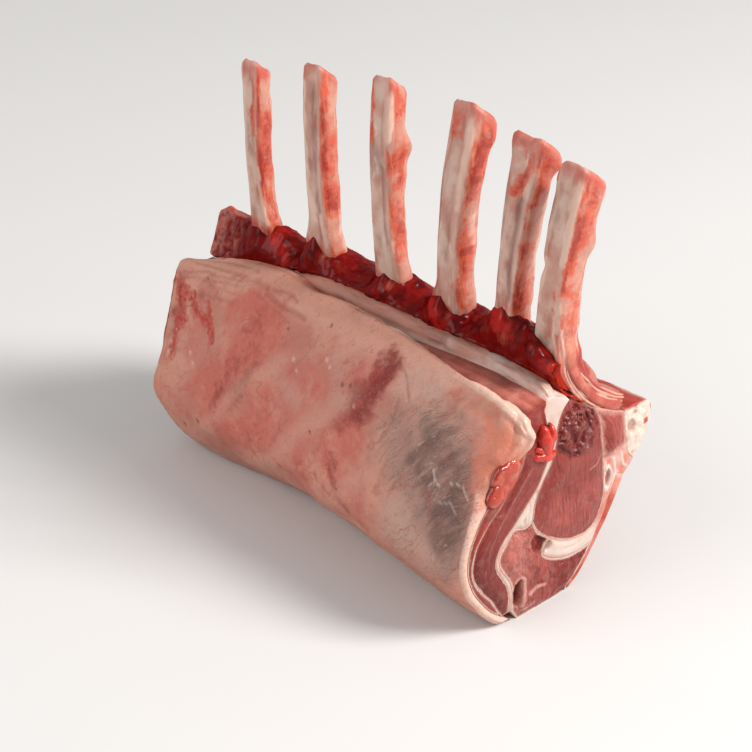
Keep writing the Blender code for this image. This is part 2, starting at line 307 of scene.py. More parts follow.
class Flesh:
    """A closed skin. section holds (x, across, up) as drawn, and points holds them carried along the loin.
    side, on a cut piece, is 1 on the clean cut, -1 on the far one and 0 between."""

    def __init__(self, section, quads, triangles, in_place=False):
        self.section, self.quads, self.triangles = section, quads, triangles
        self.points = section.copy() if in_place else place(*section.T)
        self.marks = {}

    x = property(lambda self: self.section[:, 0])
    across = property(lambda self: self.section[:, 1])
    up = property(lambda self: self.section[:, 2])
    on_cut = property(lambda self: np.abs(self.side))
    between = property(lambda self: 1 - np.abs(self.side))

    def flat_lumps(self, size, seed, octaves=1):
        """Lumps of the section, the same all along the loin."""
        return lumps(self.section * (0, 1, 1), size, seed, octaves)

    def normals(self):
        corners = np.vstack([self.quads[:, [0, 1, 2]], self.quads[:, [0, 2, 3]], self.triangles])
        a, b, c = (self.points[corners[:, i]] for i in range(3))
        facing = np.cross(b - a, c - a)
        total = np.zeros_like(self.points)
        for i in range(3):
            np.add.at(total, corners[:, i], facing)
        return total / np.maximum(np.linalg.norm(total, axis=1), 1e-9)[:, None]

    def swell(self, amount):
        """Moves each point out along its normal by amount millimetres."""
        self.points = self.points + self.normals() * np.asarray(amount, float).reshape(-1, 1)

    def piece(self, name, finish, slot, *stands_for):
        """Makes the finished object, in the frame, in place of the nodes that it stands for."""
        mesh = bpy.data.meshes.new(name)
        faces = self.quads.tolist() + self.triangles.tolist()
        mesh.from_pydata(((self.points + shift) / PER_METRE).tolist(), [], faces)
        mesh.validate()
        for mark, values in self.marks.items():
            layer = mesh.attributes.new(mark, "FLOAT", "POINT")
            values = np.broadcast_to(np.asarray(values, float), len(self.points))
            layer.data.foreach_set("value", np.clip(values, -MOST_MARK, MOST_MARK).astype(np.float32))
        mesh.shade_smooth()
        mesh.materials.append(finish)
        piece = bpy.data.objects.new(name, mesh)
        bpy.context.scene.collection.objects.link(piece)
        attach(piece, "root")
        if stands_for:
            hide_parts(*stands_for)
        triangles = 2 * len(self.quads) + len(self.triangles)
        sizes = np.ptp(self.points, axis=0).round(1).tolist()
        print(f"{name}: {triangles} triangles, {sizes} mm")


def tube_quads(rings, around):
    """Faces of rings of points, each ring joined to the next and to itself."""
    row = np.arange(around)
    first = np.column_stack([row, np.roll(row, -1)])
    return np.vstack([np.column_stack([first + r * around, first[:, ::-1] + (r + 1) * around])
                      for r in range(rings - 1)])


def end_caps(rings, around):
    """Triangles that close the first and the last ring of a tube."""
    fan = np.array([(0, j, j + 1) for j in range(1, around - 1)])
    return np.vstack([fan, fan[:, [0, 2, 1]] + (rings - 1) * around])


def joined(parts):
    """One Flesh of several (points, quads, triangles) that lie in place already."""
    starts = np.cumsum([0] + [len(points) for points, _, _ in parts[:-1]])
    points, quads, triangles = zip(*parts)
    return Flesh(np.vstack(points), np.vstack([q + start for q, start in zip(quads, starts)]),
                 np.vstack([t + start for t, start in zip(triangles, starts)]), in_place=True)


# %% A net of triangles over a cut face
def edge_distance(at, polygon):
    """How far each point is from a closed outline."""
    nearest = np.full(len(at), 1e9)
    for start, end in zip(polygon, np.roll(polygon, -1, axis=0)):
        way = end - start
        share = np.clip((at - start) @ way / max(way @ way, 1e-12), 0, 1)
        nearest = np.minimum(nearest, np.linalg.norm(at - start - share[:, None] * way, axis=1))
    return nearest


def line_distance(at, points):
    """How far each point is from an open line, and how far along it the nearest place is."""
    nearest, run, passed = np.full(len(at), 1e9), np.zeros(len(at)), 0.0
    points = np.asarray(points, float)
    for start, end in zip(points, points[1:]):
        way = end - start
        length = np.linalg.norm(way)
        share = np.clip((at - start) @ way / max(length ** 2, 1e-12), 0, 1)
        distance = np.linalg.norm(at - start - share[:, None] * way, axis=1)
        closer = distance < nearest
        nearest = np.where(closer, distance, nearest)
        run = np.where(closer, passed + share * length, run)
        passed += length
    return nearest, run


def inside(at, polygon):
    """Whether each point is inside a closed outline."""
    crossed = np.zeros(len(at), bool)
    for (ax, ay), (bx, by) in zip(polygon, np.roll(polygon, -1, axis=0)):
        if ay != by:
            spans = (ay > at[:, 1]) != (by > at[:, 1])
            crossed ^= spans & (at[:, 0] < ax + (at[:, 1] - ay) * (bx - ax) / (by - ay))
    return crossed


ROW_GAP, BORDER_GAP, UNEVEN = 0.87, 0.45, 0.2  # of a net, against the side of its triangles


def net(polygon, grain):
    """(inner points, triangles) of a face: the outline's points come first in the numbering."""
    low, high = polygon.min(axis=0), polygon.max(axis=0)
    rows = []
    for number, up in enumerate(np.arange(low[1], high[1], grain * ROW_GAP)):
        across = np.arange(low[0] + (number % 2) * grain / 2, high[0], grain)
        rows.append(np.column_stack([across, np.full(len(across), up)]))
    inner = np.vstack(rows)
    inner = inner + np.random.default_rng(5).uniform(-UNEVEN, UNEVEN, inner.shape) * grain
    inner = inner[inside(inner, polygon)]
    inner = inner[edge_distance(inner, polygon) > grain * BORDER_GAP]
    corners = [Vector(p) for p in np.vstack([polygon, inner])]
    edges = [(i, (i + 1) % len(polygon)) for i in range(len(polygon))]
    _, _, faces, origins, _, _ = geometry.delaunay_2d_cdt(corners, edges, [], 1, 1e-5)
    number = [o[0] if o else -1 for o in origins]
    faces = [[number[i] for i in face] for face in faces]
    return inner, np.array([f for f in faces if len(f) == 3 and min(f) >= 0 and len(set(f)) == 3])


SQUARE = np.array([(0, 0), (4, 0), (4, 4), (0, 4)], float)
print("a net over a square of 4 mm:", len(net(SQUARE, 0.5)[1]), "triangles")

# %% Carry an outline along the loin and close it with two cut faces
TOUCH = 0.03  # neighbours stop this short of their shared line


def between_cuts(step):
    """Even stations along the loin, closer where the far end rounds off."""
    straight = np.arange(0, END_ROUND - LENGTH, -step)
    turns = np.linspace(0, math.pi / 2, max(8, round(END_ROUND * math.pi / 2 / step)))
    return np.concatenate([straight[:-1], END_ROUND - LENGTH - END_ROUND * np.sin(turns)])


def cut_piece(cell, step=2.5, grain=0.5, far_grain=1.1, rounding=0.35):
    """A Flesh from an outline. Its depth is how far inside a cut face each point lies, in millimetres."""
    stations, rings, sides = between_cuts(step)[1:-1], [], []
    curve = np.radians([0, 30, 60, 90])
    for a in curve:
        rings.append((rounding * (math.cos(a) - 1), rounding * (1 - math.sin(a))))
        sides.append(1)
    for x in stations[stations < -rounding - 0.5]:
        rings.append((x, 0.0))
        sides.append(0)
    for a in curve[::-1]:
        rings.append((-LENGTH + rounding * (1 - math.cos(a)), rounding * (1 - math.sin(a))))
        sides.append(-1)
    section = [np.column_stack([np.full(len(cell), x), inset(cell, TOUCH + depth)]) for x, depth in rings]
    count = len(cell) * len(rings)
    side = np.repeat(sides, len(cell)).astype(float)
    near, near_faces = net(section[0][:, 1:], grain)
    far, far_faces = net(section[-1][:, 1:], far_grain)
    ring, near_inner, far_inner = np.arange(len(cell)), np.arange(len(near)), np.arange(len(far))
    near_index = np.concatenate([ring, count + near_inner])
    far_index = np.concatenate([count - len(cell) + ring, count + len(near) + far_inner])
    depth = np.concatenate([np.zeros(count), edge_distance(near, section[0][:, 1:]),
                            edge_distance(far, section[-1][:, 1:])])
    section += [np.column_stack([np.zeros(len(near)), near]),
                np.column_stack([np.full(len(far), -LENGTH), far])]
    triangles = np.vstack([near_index[near_faces], far_index[far_faces][:, ::-1]])
    flesh = Flesh(np.vstack(section), tube_quads(len(rings), len(cell))[:, ::-1], triangles)
    flesh.depth = depth
    flesh.side = np.concatenate([side, np.ones(len(near)), -np.ones(len(far))])
    return flesh


def push(flesh, amount):
    """Moves the points of both cut faces out of the meat by amount, but keeps their borders in place."""
    inner = smooth(0, 1.2, flesh.depth)
    flesh.points[:, 0] += amount * inner * flesh.side


def blob(flesh, centre, radii, tilt=0.0, soft=0.35):
    """1 inside an oval of the section, 0 outside it, soft at the border."""
    a, b = flesh.across - centre[0], flesh.up - centre[1]
    c, s = math.cos(math.radians(tilt)), math.sin(math.radians(tilt))
    reach = np.hypot((a * c + b * s) / radii[0], (b * c - a * s) / radii[1])
    return smooth(1 + soft, 1 - soft, reach)


def roll_edge(flesh, border, radius):
    """Turns the corner between a side and the clean cut into a quarter circle. border is that side's
    line, with the piece on its left. Returns how far each point is from the line and how far along it."""
    off, run = line_distance(flesh.section[:, 1:], border)
    along = travelled(border)
    way = np.gradient(border, along, axis=0)
    inward = np.column_stack([-np.interp(run, along, way[:, 1]), np.interp(run, along, way[:, 0])])
    from_cut = -flesh.x
    on_cut = off > from_cut
    share = np.clip(np.where(on_cut, off, from_cut) / radius, 0, 1)
    turned = math.pi / 4 * (1 - share)
    flat_way, round_way = radius * (1 - np.cos(turned)), radius * (1 - np.sin(turned))
    near = from_cut < radius + 0.01
    fade = smooth(radius, 0, np.where(on_cut, from_cut, off))
    back = np.where(on_cut, -flat_way, from_cut - round_way) * fade
    deeper = np.where(on_cut, (round_way - off) * (off < radius), flat_way) * fade
    flesh.points[:, 0] += np.where(near, back, 0)
    flesh.points[:, 1:] += np.where(near, deeper, 0)[:, None] * inward
    return off, run


print("stations of a fine piece:", len(between_cuts(0.55)))

# %% [markdown]
# ## Tools for finishes
# A finish is a material made of nodes. Written out node by node it is hard to read, so one small class
# lets a socket take part in sums, and one method makes every other node. Constant values stay on the
# shader's own sockets; only what changes over the surface is wired.

# %% Sums on sockets, and one method for every node
class Wire:
    """An output socket of a finish. Sums on it add Math nodes."""

    def __init__(self, finish, socket):
        self.finish, self.socket = finish, socket

    def maths(self, operation, *values):
        return self.finish.node("ShaderNodeMath", {"operation": operation}, dict(enumerate(values)))

    def __add__(self, other):
        return self.maths("ADD", self, other)

    def __sub__(self, other):
        return self.maths("SUBTRACT", self, other)

    def __rsub__(self, other):
        return self.maths("SUBTRACT", other, self)

    def __mul__(self, other):
        return self.maths("MULTIPLY", self, other)

    __radd__, __rmul__ = __add__, __mul__

    def __abs__(self):
        return self.maths("ABSOLUTE", self)

    def spread(self, amount):
        """A grain as a swing around 0, amount times as strong."""
        return (self - 0.5) * amount

    def step(self, start, end):
        """0 at start and 1 at end, soft between them."""
        span = {"Value": self, "From Min": start, "From Max": end}
        return self.finish.node("ShaderNodeMapRange", {"interpolation_type": "SMOOTHSTEP"}, span)


class Finish:
    """A material in the making. base is its first colour, and constants go on the shader's own sockets."""

    def __init__(self, name, base, constants):
        self.colour = shade(*base)
        self.material = bpy.data.materials.new(name)
        self.material.use_nodes = True
        self.tree = self.material.node_tree
        self.shader = self.tree.nodes["Principled BSDF"]
        for socket, value in constants.items():
            self.shader.inputs[socket].default_value = value

    def node(self, kind, settings=None, sockets=None, output=0):
        """Any node: its type, its settings, then the values or wires of its sockets."""
        made = self.tree.nodes.new(kind)
        for setting, value in (settings or {}).items():
            setattr(made, setting, value)
        for key, value in (sockets or {}).items():
            if isinstance(value, Wire):
                self.tree.links.new(value.socket, made.inputs[key])
            else:
                made.inputs[key].default_value = value
        return Wire(self, made.outputs[output])

    def mark(self, name):
        """The numbers that a piece carries at its points."""
        return self.node("ShaderNodeAttribute", {"attribute_name": name}, {}, "Fac")

    def grain(self, size, detail=3.0, stretch=(1, 1, 1), seed=0.0, at=None):
        """Random values around 0.5 that change over size millimetres."""
        if at is None:
            at = self.node("ShaderNodeTexCoord", {}, {}, "Object")
        scale = tuple(PER_METRE / size / s for s in stretch)
        moved = {0: at, 1: scale, 2: (seed, seed * 1.7, seed * 0.6)}
        at = self.node("ShaderNodeVectorMath", {"operation": "MULTIPLY_ADD"}, moved)
        return self.node("ShaderNodeTexNoise", {}, {"Vector": at, "Scale": 1.0, "Detail": detail}, "Fac")

    def lines(self, thickness, *grain):
        """Thin wandering lines, where a grain passes its middle value."""
        return abs(self.grain(*grain) - 0.5).step(thickness, 0.0)

    def space(self, *names):
        """A place to take grain from, held by marks in millimetres."""
        metres = {axis: self.mark(name) * (1 / PER_METRE) for axis, name in enumerate(names)}
        return self.node("ShaderNodeCombineXYZ", {}, metres)

    def coat(self, colour, mask):
        """Lays a colour over those before it, where mask is 1."""
        over = shade(*colour) if isinstance(colour, tuple) else colour
        sockets = {0: mask, 6: self.colour, 7: over}
        self.colour = self.node("ShaderNodeMix", {"data_type": "RGBA"}, sockets, 2)

    def bump(self, height, depth):
        """A normal from a height, where a height of 1 is depth millimetres."""
        return self.node("ShaderNodeBump", {}, {"Height": height, "Distance": depth / PER_METRE})

    def done(self, **wires):
        """The material, with its colour and these other wires on the shader."""
        for socket, wire in {"Base_Color": self.colour, **wires}.items():
            self.tree.links.new(wire.socket, self.shader.inputs[socket.replace("_", " ")])
        return self.material


ROOM = 0.8  # the room is lit strongly, so paint is mixed this much darker and highlights stand out


def shade(red, green, blue):
    """A colour given as a screen shows it, 0 to 255, as the linear values that a shader wants."""
    linear = [c / 12.92 if c <= 0.04045 else ((c + 0.055) / 1.055) ** 2.4
              for c in (red / 255, green / 255, blue / 255)]
    return (*(ROOM * c for c in linear), 1.0)


RAW = {"Subsurface Radius": (1.0, 0.35, 0.2), "Subsurface Scale": 0.002}
print("a raw pink in linear values:", [round(c, 3) for c in shade(200, 130, 115)])

# %% [markdown]
# ## The fat cap
# A layer of firm fat covers the outside. Its colour is the story of the animal and the knife: cream where
# it is thick, red where the muscle under it shines through, grey-brown where it was trimmed to the thin
# skin over the shoulder blade. All of that is painted as strokes, each a line in millimetres along the
# loin and up it, with a width. The same strokes sculpt: a gash is red and also a groove.

# %% Brushes
def unsteady(at, size, seed, octaves):
    """How far an uneven hand strays at each place, both ways."""
    flat = np.column_stack([at, np.zeros(len(at))])
    return np.column_stack([lumps(flat, size, seed, octaves), lumps(flat, size, seed + 50, octaves)])


def stroke(at, points, width, wobble, seed):
    """1 on a line through points, 0 at width from it, with an uneven border. at is (along, up)."""
    distance, _ = line_distance(at + wobble * unsteady(at, 5 * wobble + 2, seed, 2), points)
    return smooth(width, width * 0.25, distance)


def strokes(at, drawn, wobble):
    """The strongest of several strokes, given as (strength, width, points)."""
    total = np.zeros(len(at))
    for number, (strength, width, points) in enumerate(drawn):
        total = np.maximum(total, strength * stroke(at, points, width, wobble, number + 1))
    return total


def dots(at, drawn):
    """Small round spots, given as (along, up, radius)."""
    total = np.zeros(len(at))
    for along, up, radius in drawn:
        total = np.maximum(total, smooth(radius, radius * 0.3, np.hypot(at[:, 0] - along, at[:, 1] - up)))
    return total


def wash(at, drawn, wobble=2.0):
    """Soft stains laid over one another, given as (strength, width, points)."""
    clean = np.ones(len(at))
    for number, (strength, width, points) in enumerate(drawn):
        distance, _ = line_distance(at + wobble * unsteady(at, 9, number + 201, 3), points)
        clean *= 1 - strength * smooth(width * 1.2, 0, distance)
    return 1 - clean


across_a_stroke = stroke(np.array([(0, 0), (0, 1), (0, 2)]), [(-5, 0), (5, 0)], 2, 0, 1)
print("a stroke at its middle, halfway out and at its width:", across_a_stroke.round(2).tolist())

# %% The shape of the fat cap
def groove_width(x):
    """How open the groove behind the lip is: closed far from the clean cut, wide at it."""
    return smooth(-122, -12, x)


def far_drop(x):
    """How far the lip, the ridge behind it and the foot of the meat sink towards the far end."""
    return np.interp(x, [-175, -162, -148, -135, -121, -107], [3.8, 4.6, 4.2, 2.6, 1.2, 0])


LIP_CREST = [(13.6, 75), (12.4, 76.7), (9.5, 77.5)]
cap = cut_piece(outline(line(FAT_OUTSIDE, 0.72), line([(6, 0.4), (0.5, 4.5)], 1.5),
                        line(FAT_INSIDE, 2.2)[::-1], line(FAT_LIP_INSIDE, 0.9)[::-1],
                        line(LIP_CREST, 0.7)),
                step=0.56, grain=0.5, far_grain=1.2, rounding=0.6)
near_lip = smooth(64, 74, cap.up) * smooth(3, 13, cap.across)
lip_ripple = lumps(np.column_stack([cap.x, cap.x * 0, cap.x * 0]), 6.5, 37, 3)
closed, opened = smooth(-52, -122, cap.x), smooth(-100, -42, cap.x)
cap.points[:, 2] += ((3.2 - 4.2 * smooth(-145, -168, cap.x)) * closed - 1.4 * opened
                     - far_drop(cap.x)) * near_lip
cap.points[:, 1] += (7.4 * closed - 4.3 * opened - 4.4 * smooth(-138, -162, cap.x)
                     - 0.7 * lip_ripple * smooth(-4, -20, cap.x)) * near_lip
lip_swing = 3.8 * hump(cap.x, -57, 20) - 3.4 * hump(cap.x, -103, 14)
cap.points[:, 1:] += np.outer(lip_swing * near_lip, (1, 0.62))
skin_line = line(FAT_OUTSIDE, 2.0)
roll = 1.0 + 6.6 * smooth(50, 61, cap.up) * (1 + 0.18 * cap.flat_lumps(5, 38, 2))
off_skin, down_skin = roll_edge(cap, skin_line, roll)
off_lip, _ = line_distance(cap.section[:, 1:], np.vstack([line(FAT_LIP_INSIDE), line(FAT_INSIDE)[:8]]))
lip_band = smooth(3.9, 1.7, off_lip + 0.8 * cap.flat_lumps(4, 44, 2)) * smooth(50, 55, cap.up)
rolled_face = smooth(-9, -7, cap.x) * smooth(50, 57, cap.up)
skin = np.maximum(smooth(1.6, 0.3, off_skin), rolled_face * (1 - lip_band))
by_cut = smooth(-13, -1, cap.x)
cap.points[:, 0] += by_cut * (2.8 * hump(cap.up, 68, 6.5) - 1.6 * hump(cap.up, 54, 4)
                              + 0.6 * cap.flat_lumps(6, 40, 2) * smooth(50, 58, cap.up))
print("points of the fat cap on its skin:", int((skin > 0.5).sum()), "of", len(skin))

# %% Red stains of the fat cap
# Each stain: strength, width and the places it passes, along the loin and up it.
at = cap.points[:, [0, 2]]
blood = wash(at, [
    (1.0, 4.8, [(-166, 64.5), (-162, 60), (-160.5, 54)]),
    (0.85, 3.8, [(-160.5, 55), (-160.5, 47), (-161.5, 41)]),
    (0.9, 3.8, [(-163, 64.5), (-156, 63), (-153, 61)]), (0.9, 2.8, [(-156, 64), (-149, 59.5), (-143, 57)]),
    (0.95, 2.4, [(-147, 64.5), (-143.5, 60), (-140, 54.5)]), (0.6, 2.0, [(-140, 55), (-138.5, 50)]),
    (0.4, 2.6, [(-131, 39), (-132, 31), (-131, 27)]), (0.4, 3.2, [(-56, 74), (-57.5, 66)]),
    (0.35, 3.0, [(-59, 63), (-62, 58)]), (0.4, 2.0, [(-101, 30), (-95, 24)]),
], 1.8)
crimson = wash(at, [
    (0.85, 8.5, [(-54.5, 74.5), (-56, 69), (-58, 63)]), (0.6, 8, [(-59.5, 62), (-66, 55)]),
    (0.5, 4, [(-51, 77), (-54, 71)]),
    (0.45, 4, [(-63, 67), (-61, 63)]), (0.42, 3.0, [(-112, 55.5), (-119.5, 47), (-125, 42.5), (-131, 38)]),
    (0.42, 3.0, [(-116, 50), (-119, 42.5), (-124, 35)]), (0.4, 2.8, [(-92, 44), (-99, 33), (-104, 27)]),
    (0.55, 5, [(-66, 42), (-62.5, 34), (-57, 27)]), (0.4, 4, [(-109, 39), (-112, 31)]),
    (0.45, 5, [(-131, 40), (-132, 29)]), (0.45, 6, [(-124, 66), (-118, 70)]),
    (0.35, 6, [(-112, 48), (-120, 40)]), (0.35, 5, [(-84, 34), (-80, 26)]),
    (0.6, 7, [(-165, 66), (-162, 50)]), (0.45, 6, [(-152, 64), (-140, 56)]),
    (0.4, 9, [(-118, 60), (-128, 46)]),
])
red = wash(at, [
    (0.8, 13, [(-130, 68), (-121, 70), (-112, 70)]), (0.7, 14, [(-119, 67), (-120, 52)]),
    (0.5, 12, [(-150, 58), (-146, 42)]), (0.75, 17, [(-122, 53), (-131, 40)]),
    (0.6, 10, [(-131, 42), (-131, 29)]), (0.7, 12, [(-106, 47), (-109, 33)]),
    (0.6, 11, [(-108, 33), (-122, 24)]), (0.6, 12, [(-99, 34), (-91, 22)]),
    (0.45, 14, [(-95, 60), (-78, 64)]), (0.7, 14, [(-84, 40), (-80, 26)]),
    (0.8, 11, [(-56, 72), (-60, 60)]), (0.6, 12, [(-62, 58), (-69, 44)]),
    (0.65, 13, [(-57, 49), (-61, 37)]), (0.4, 10, [(-52, 52), (-41, 56)]),
    (0.45, 16, [(-140, 34), (-112, 16)]),
    (0.5, 12, [(-162, 34), (-158, 18)]), (0.35, 12, [(-104, 62), (-96, 50)]),
    (0.3, 14, [(-76, 60), (-88, 46)]),
    (0.3, 12, [(-50, 28), (-40, 18)]),
], 3.0)
print("painted red:", round(float((red > 0.5)[skin > 0.5].mean()), 3), "of the skin")

# %% Grey, soot, ash and amber
grey = wash(at, [
    (0.75, 17, [(-28, 66), (-27, 56), (-18, 44), (-13, 32)]), (0.6, 13, [(-13, 62), (-8, 52), (-8, 42)]),
    (0.7, 8, [(-3.5, 52), (-4.5, 40), (-7, 30)]),
    (0.5, 17, [(-44, 60), (-36, 48), (-26, 30)]), (0.4, 13, [(-30, 26), (-16, 18)]),
], 3.0)
soot = wash(at, [
    (0.55, 7, [(-29, 64), (-20, 63), (-14, 58)]), (0.7, 6, [(-8, 60), (-9, 52), (-13, 45)]),
    (0.5, 5, [(-32, 56), (-22, 50)]), (0.6, 5, [(-15, 44), (-12, 34)]), (0.45, 5, [(-6, 46), (-5, 38)]),
    (0.6, 5, [(-10, 54), (-6, 47)]), (0.5, 6, [(-7.5, 50), (-7, 42), (-8.5, 33)]),
    (0.4, 4, [(-24, 40), (-22, 32)]), (0.35, 15, [(-24, 58), (-12, 44)]),
], 2.5)
ash = wash(at, [
    (0.8, 9, [(-45, 73), (-33, 76)]), (0.9, 13, [(-32, 36), (-18, 28)]), (0.5, 9, [(-40, 26), (-26, 18)]),
    (0.5, 8, [(-76, 70), (-68, 60)]), (0.5, 9, [(-101, 56), (-90, 52)]),
], 2.5)
amber = wash(at, [
    (0.6, 4, [(-26, 75.5), (-17, 77), (-10.5, 75)]), (0.95, 4, [(-8, 74), (-5, 70), (-4.5, 63)]),
    (0.6, 4, [(-4, 61), (-3, 56)]), (0.4, 6.5, [(-8, 66), (-6.5, 59), (-4.5, 52)]),
    (0.8, 3.6, [(0, 61), (1, 55), (0.8, 51)]), (0.8, 4, [(-2, 71), (0, 66), (0, 60)]),
    (0.3, 10, [(-26, 24), (-16, 16)]), (0.3, 9, [(-168, 46), (-164, 24)]),
    (0.3, 9, [(-150, 12), (-120, 8)]), (0.2, 8, [(-20, 30), (-8, 22)]),
], 1.2)
print("painted grey:", round(float((grey > 0.5)[skin > 0.5].mean()), 3), "of the skin")

# %% Edges, nicks, flecks and veins
rim_edge = np.maximum(lip_band * smooth(-9, -7, cap.x),
                      0.85 * smooth(6.0, 2.0, down_skin) * smooth(-42, -12, cap.x))
rim_edge = np.maximum(rim_edge, 0.7 * smooth(-1.6, -0.5, cap.x))
nicks = dots(at, [(-151, 18, 1.0), (-141, 24, 1.2), (-78, 46, 0.9), (-69, 65, 1.1), (-65.5, 66, 0.9),
                  (-84, 78.5, 0.8), (-150, 72, 0.8), (-103, 71, 0.7), (-61, 33, 0.8), (-96, 25, 0.8)])
flecks = 0.6 * dots(at, [(-150, 46, 1.3), (-147.5, 43, 1.0), (-94.5, 64, 1.2), (-92, 61, 0.9),
                         (-80, 69, 1.3), (-77.5, 67.5, 1.0), (-60.8, 61, 0.8), (-163, 45, 1.0),
                         (-161.5, 50, 0.7), (-164, 41, 1.0)])
vein = strokes(at, [(1, 0.5, [(-21.3, 55.5), (-19.3, 52.6), (-16.4, 51.4)]),
                    (1, 0.45, [(-19, 52.5), (-21, 50.5)]),
                    (0.8, 0.4, [(-13, 54), (-8, 54.6), (-4.5, 51.5)]),
                    (0.6, 0.5, [(-15, 47.5), (-10, 48.6), (-6.5, 46.5)])], 0.3)
print("nicks:", int((nicks > 0.5).sum()), "points, flecks:", int((flecks > 0.3).sum()), "points")

# %% Wrinkles, bands and folds
# Soft bands that slant over it: place along the slant, width and height.
SLANTED_BANDS = ((-192, 9, 0.7), (-161, 8, 0.9), (-127, 8, 1.0), (-95, 9, 0.8), (-60, 11, 0.5))
# Creases along the top of the lip: how far across, then where each starts and ends.
LIP_CREASES = ((4.6, -166, -118), (7.4, -168, -128), (9.6, -150, -96), (12.0, -166, -104))
# Fine wrinkles follow a flow: millimetres across it and along it, bent by slow noise.
flow_across = (0.72 * cap.points[:, 0] - 0.69 * cap.points[:, 2] + 6 * lumps(cap.points, 34, 41, 2)
               + 1.6 * lumps(cap.points, 7, 42, 2))
flow_along = 0.69 * cap.points[:, 0] + 0.72 * cap.points[:, 2]
wrinkles = lumps(np.column_stack([flow_across / 1.7, flow_along / 9, 0 * flow_along]), 1.0, 43, 2)
slant = cap.points[:, 0] - cap.points[:, 2]
soft_band = np.zeros(len(slant))
drift = 7 * lumps(cap.points, 26, 21, 2)
for centre, width, height in SLANTED_BANDS:
    soft_band += height * hump(slant - centre + drift, 0, width)
soft_band *= smooth(74, 60, cap.points[:, 2]) * smooth(4, 14, cap.points[:, 2]) * smooth(-30, -45, cap.x)
# The folds and the creases of the lip are dents, and the finish paints them darker: painted shade in the
# creases.
folds = strokes(at, [
    (0.4, 0.8, [(-60, 78), (-47, 76), (-40, 70)]), (0.5, 1.0, [(-52, 24), (-46, 16)]),
    (0.4, 0.8, [(-44, 68), (-43, 62), (-46, 55)]), (0.4, 0.6, [(-160, 72), (-146, 71), (-132, 73)]),
    (0.3, 0.7, [(-128, 72), (-131, 66), (-136, 62)]), (0.3, 0.6, [(-109, 76), (-108, 71)]),
    (0.3, 0.9, [(-88, 74), (-90, 66), (-96, 58)]), (0.3, 0.8, [(-70, 50), (-74, 40), (-72, 30)]),
    (0.5, 0.7, [(-164.4, 69.2), (-152, 73), (-139, 75.7), (-127, 78), (-115, 79), (-104, 79)]),
    (0.5, 0.6, [(-167.4, 66), (-159, 69.4), (-150.7, 71.6), (-140, 74), (-130, 76)]),
    (0.45, 1.0, [(-155, 65), (-145, 67), (-134, 69)]),
    (0.6, 1.2, [(-120, 77.3), (-108, 76.2), (-96.5, 75.4)]),
    (0.4, 0.7, [(-124, 75), (-113, 74), (-103, 73)]), (0.3, 0.7, [(-140, 73), (-142, 68)]),
], 1.3)
shelf_wave = lumps(np.column_stack([cap.x / 3, cap.across * 0, cap.x * 0]), 5, 47, 2)
for crease_across, start, end in LIP_CREASES:
    crease = hump(cap.across - crease_across, 1.1 * shelf_wave, 0.42) * smooth(70, 74, cap.up)
    folds = np.maximum(folds, 0.6 * crease * smooth(start, start + 8, cap.x) * smooth(end, end - 14, cap.x))
print("folds:", int((folds > 0.3).sum()), "points")

# %% Sculpt the fat cap and set its marks
scallop = smooth(5.5, 0, down_skin) * smooth(-125, -60, cap.x)
rolled = smooth(-6, -2, cap.points[:, 0]) * smooth(52, 60, cap.up)
bloody_dents = smooth(0.3, 1.0, blood + 0.4 * lumps(cap.points, 2.2, 45, 2)) * smooth(-120, -135, cap.x)
relief = (0.75 * lumps(cap.points, 21, 31, 2) + 0.22 * lumps(cap.points, 6, 32, 2)
          + 0.05 * lumps(cap.points, 1.4, 33, 2) + 1.1 * soft_band
          - 0.75 * folds - 0.45 * bloody_dents - 0.35 * nicks
          + 0.18 * flecks + 0.14 * vein + (0.07 + 0.2 * grey) * wrinkles
          + 0.9 * smooth(6.5, 2, down_skin) * smooth(-60, -12, cap.x)
          - 1.1 * amber * smooth(-30, -16, cap.x) * smooth(56, 62, cap.points[:, 2])
          + scallop * 0.8 * lumps(cap.points, 6, 35, 2) + 0.9 * lip_band * rolled_face
          + rolled * 0.35 * lumps(cap.points, 6, 39, 2))
print("relief of the fat cap:", relief.min().round(1), "to", relief.max().round(1), "mm")
cap.swell(relief * np.maximum(skin, smooth(66, 72, cap.up)))
push(cap, 0.5 + 0.25 * lumps(cap.points, 3, 36, 2))
rim = np.maximum(rim_edge, 0.8 * (1 - skin) * (0.2 + 0.8 * smooth(-115, -55, cap.x)))
cap.marks = {
    "blood": blood * skin,
    "crimson": crimson * skin,
    "red": red * skin * (1 - 0.75 * grey),
    "grey": grey * (1 - 0.85 * crimson) * skin,
    "soot": soot * skin,
    "amber": amber * skin,
    "ash": ash * (1 - 0.85 * crimson) * skin,
    "rim": rim * (1 - 0.75 * amber),
    "nick": nicks * skin,
    "fleck": np.maximum(flecks, 0.8 * vein) * skin,
    # fold: painted shade in the dented folds and creases
    "fold": folds * skin,
    "upper": smooth(15, 6, down_skin) * skin,
    "band": soft_band * skin,
    "flow_across": flow_across,
    "flow_along": flow_along,
    "low": smooth(16, 4, cap.points[:, 2]) * skin,
}


# %% [markdown]
# ## Its finish
# Fat scatters light inside, so the shader lets some of it through below the surface. The paint is laid
# over it from light to dark, and each mask is broken up by a grain of its own, because a clean border
# looks printed.

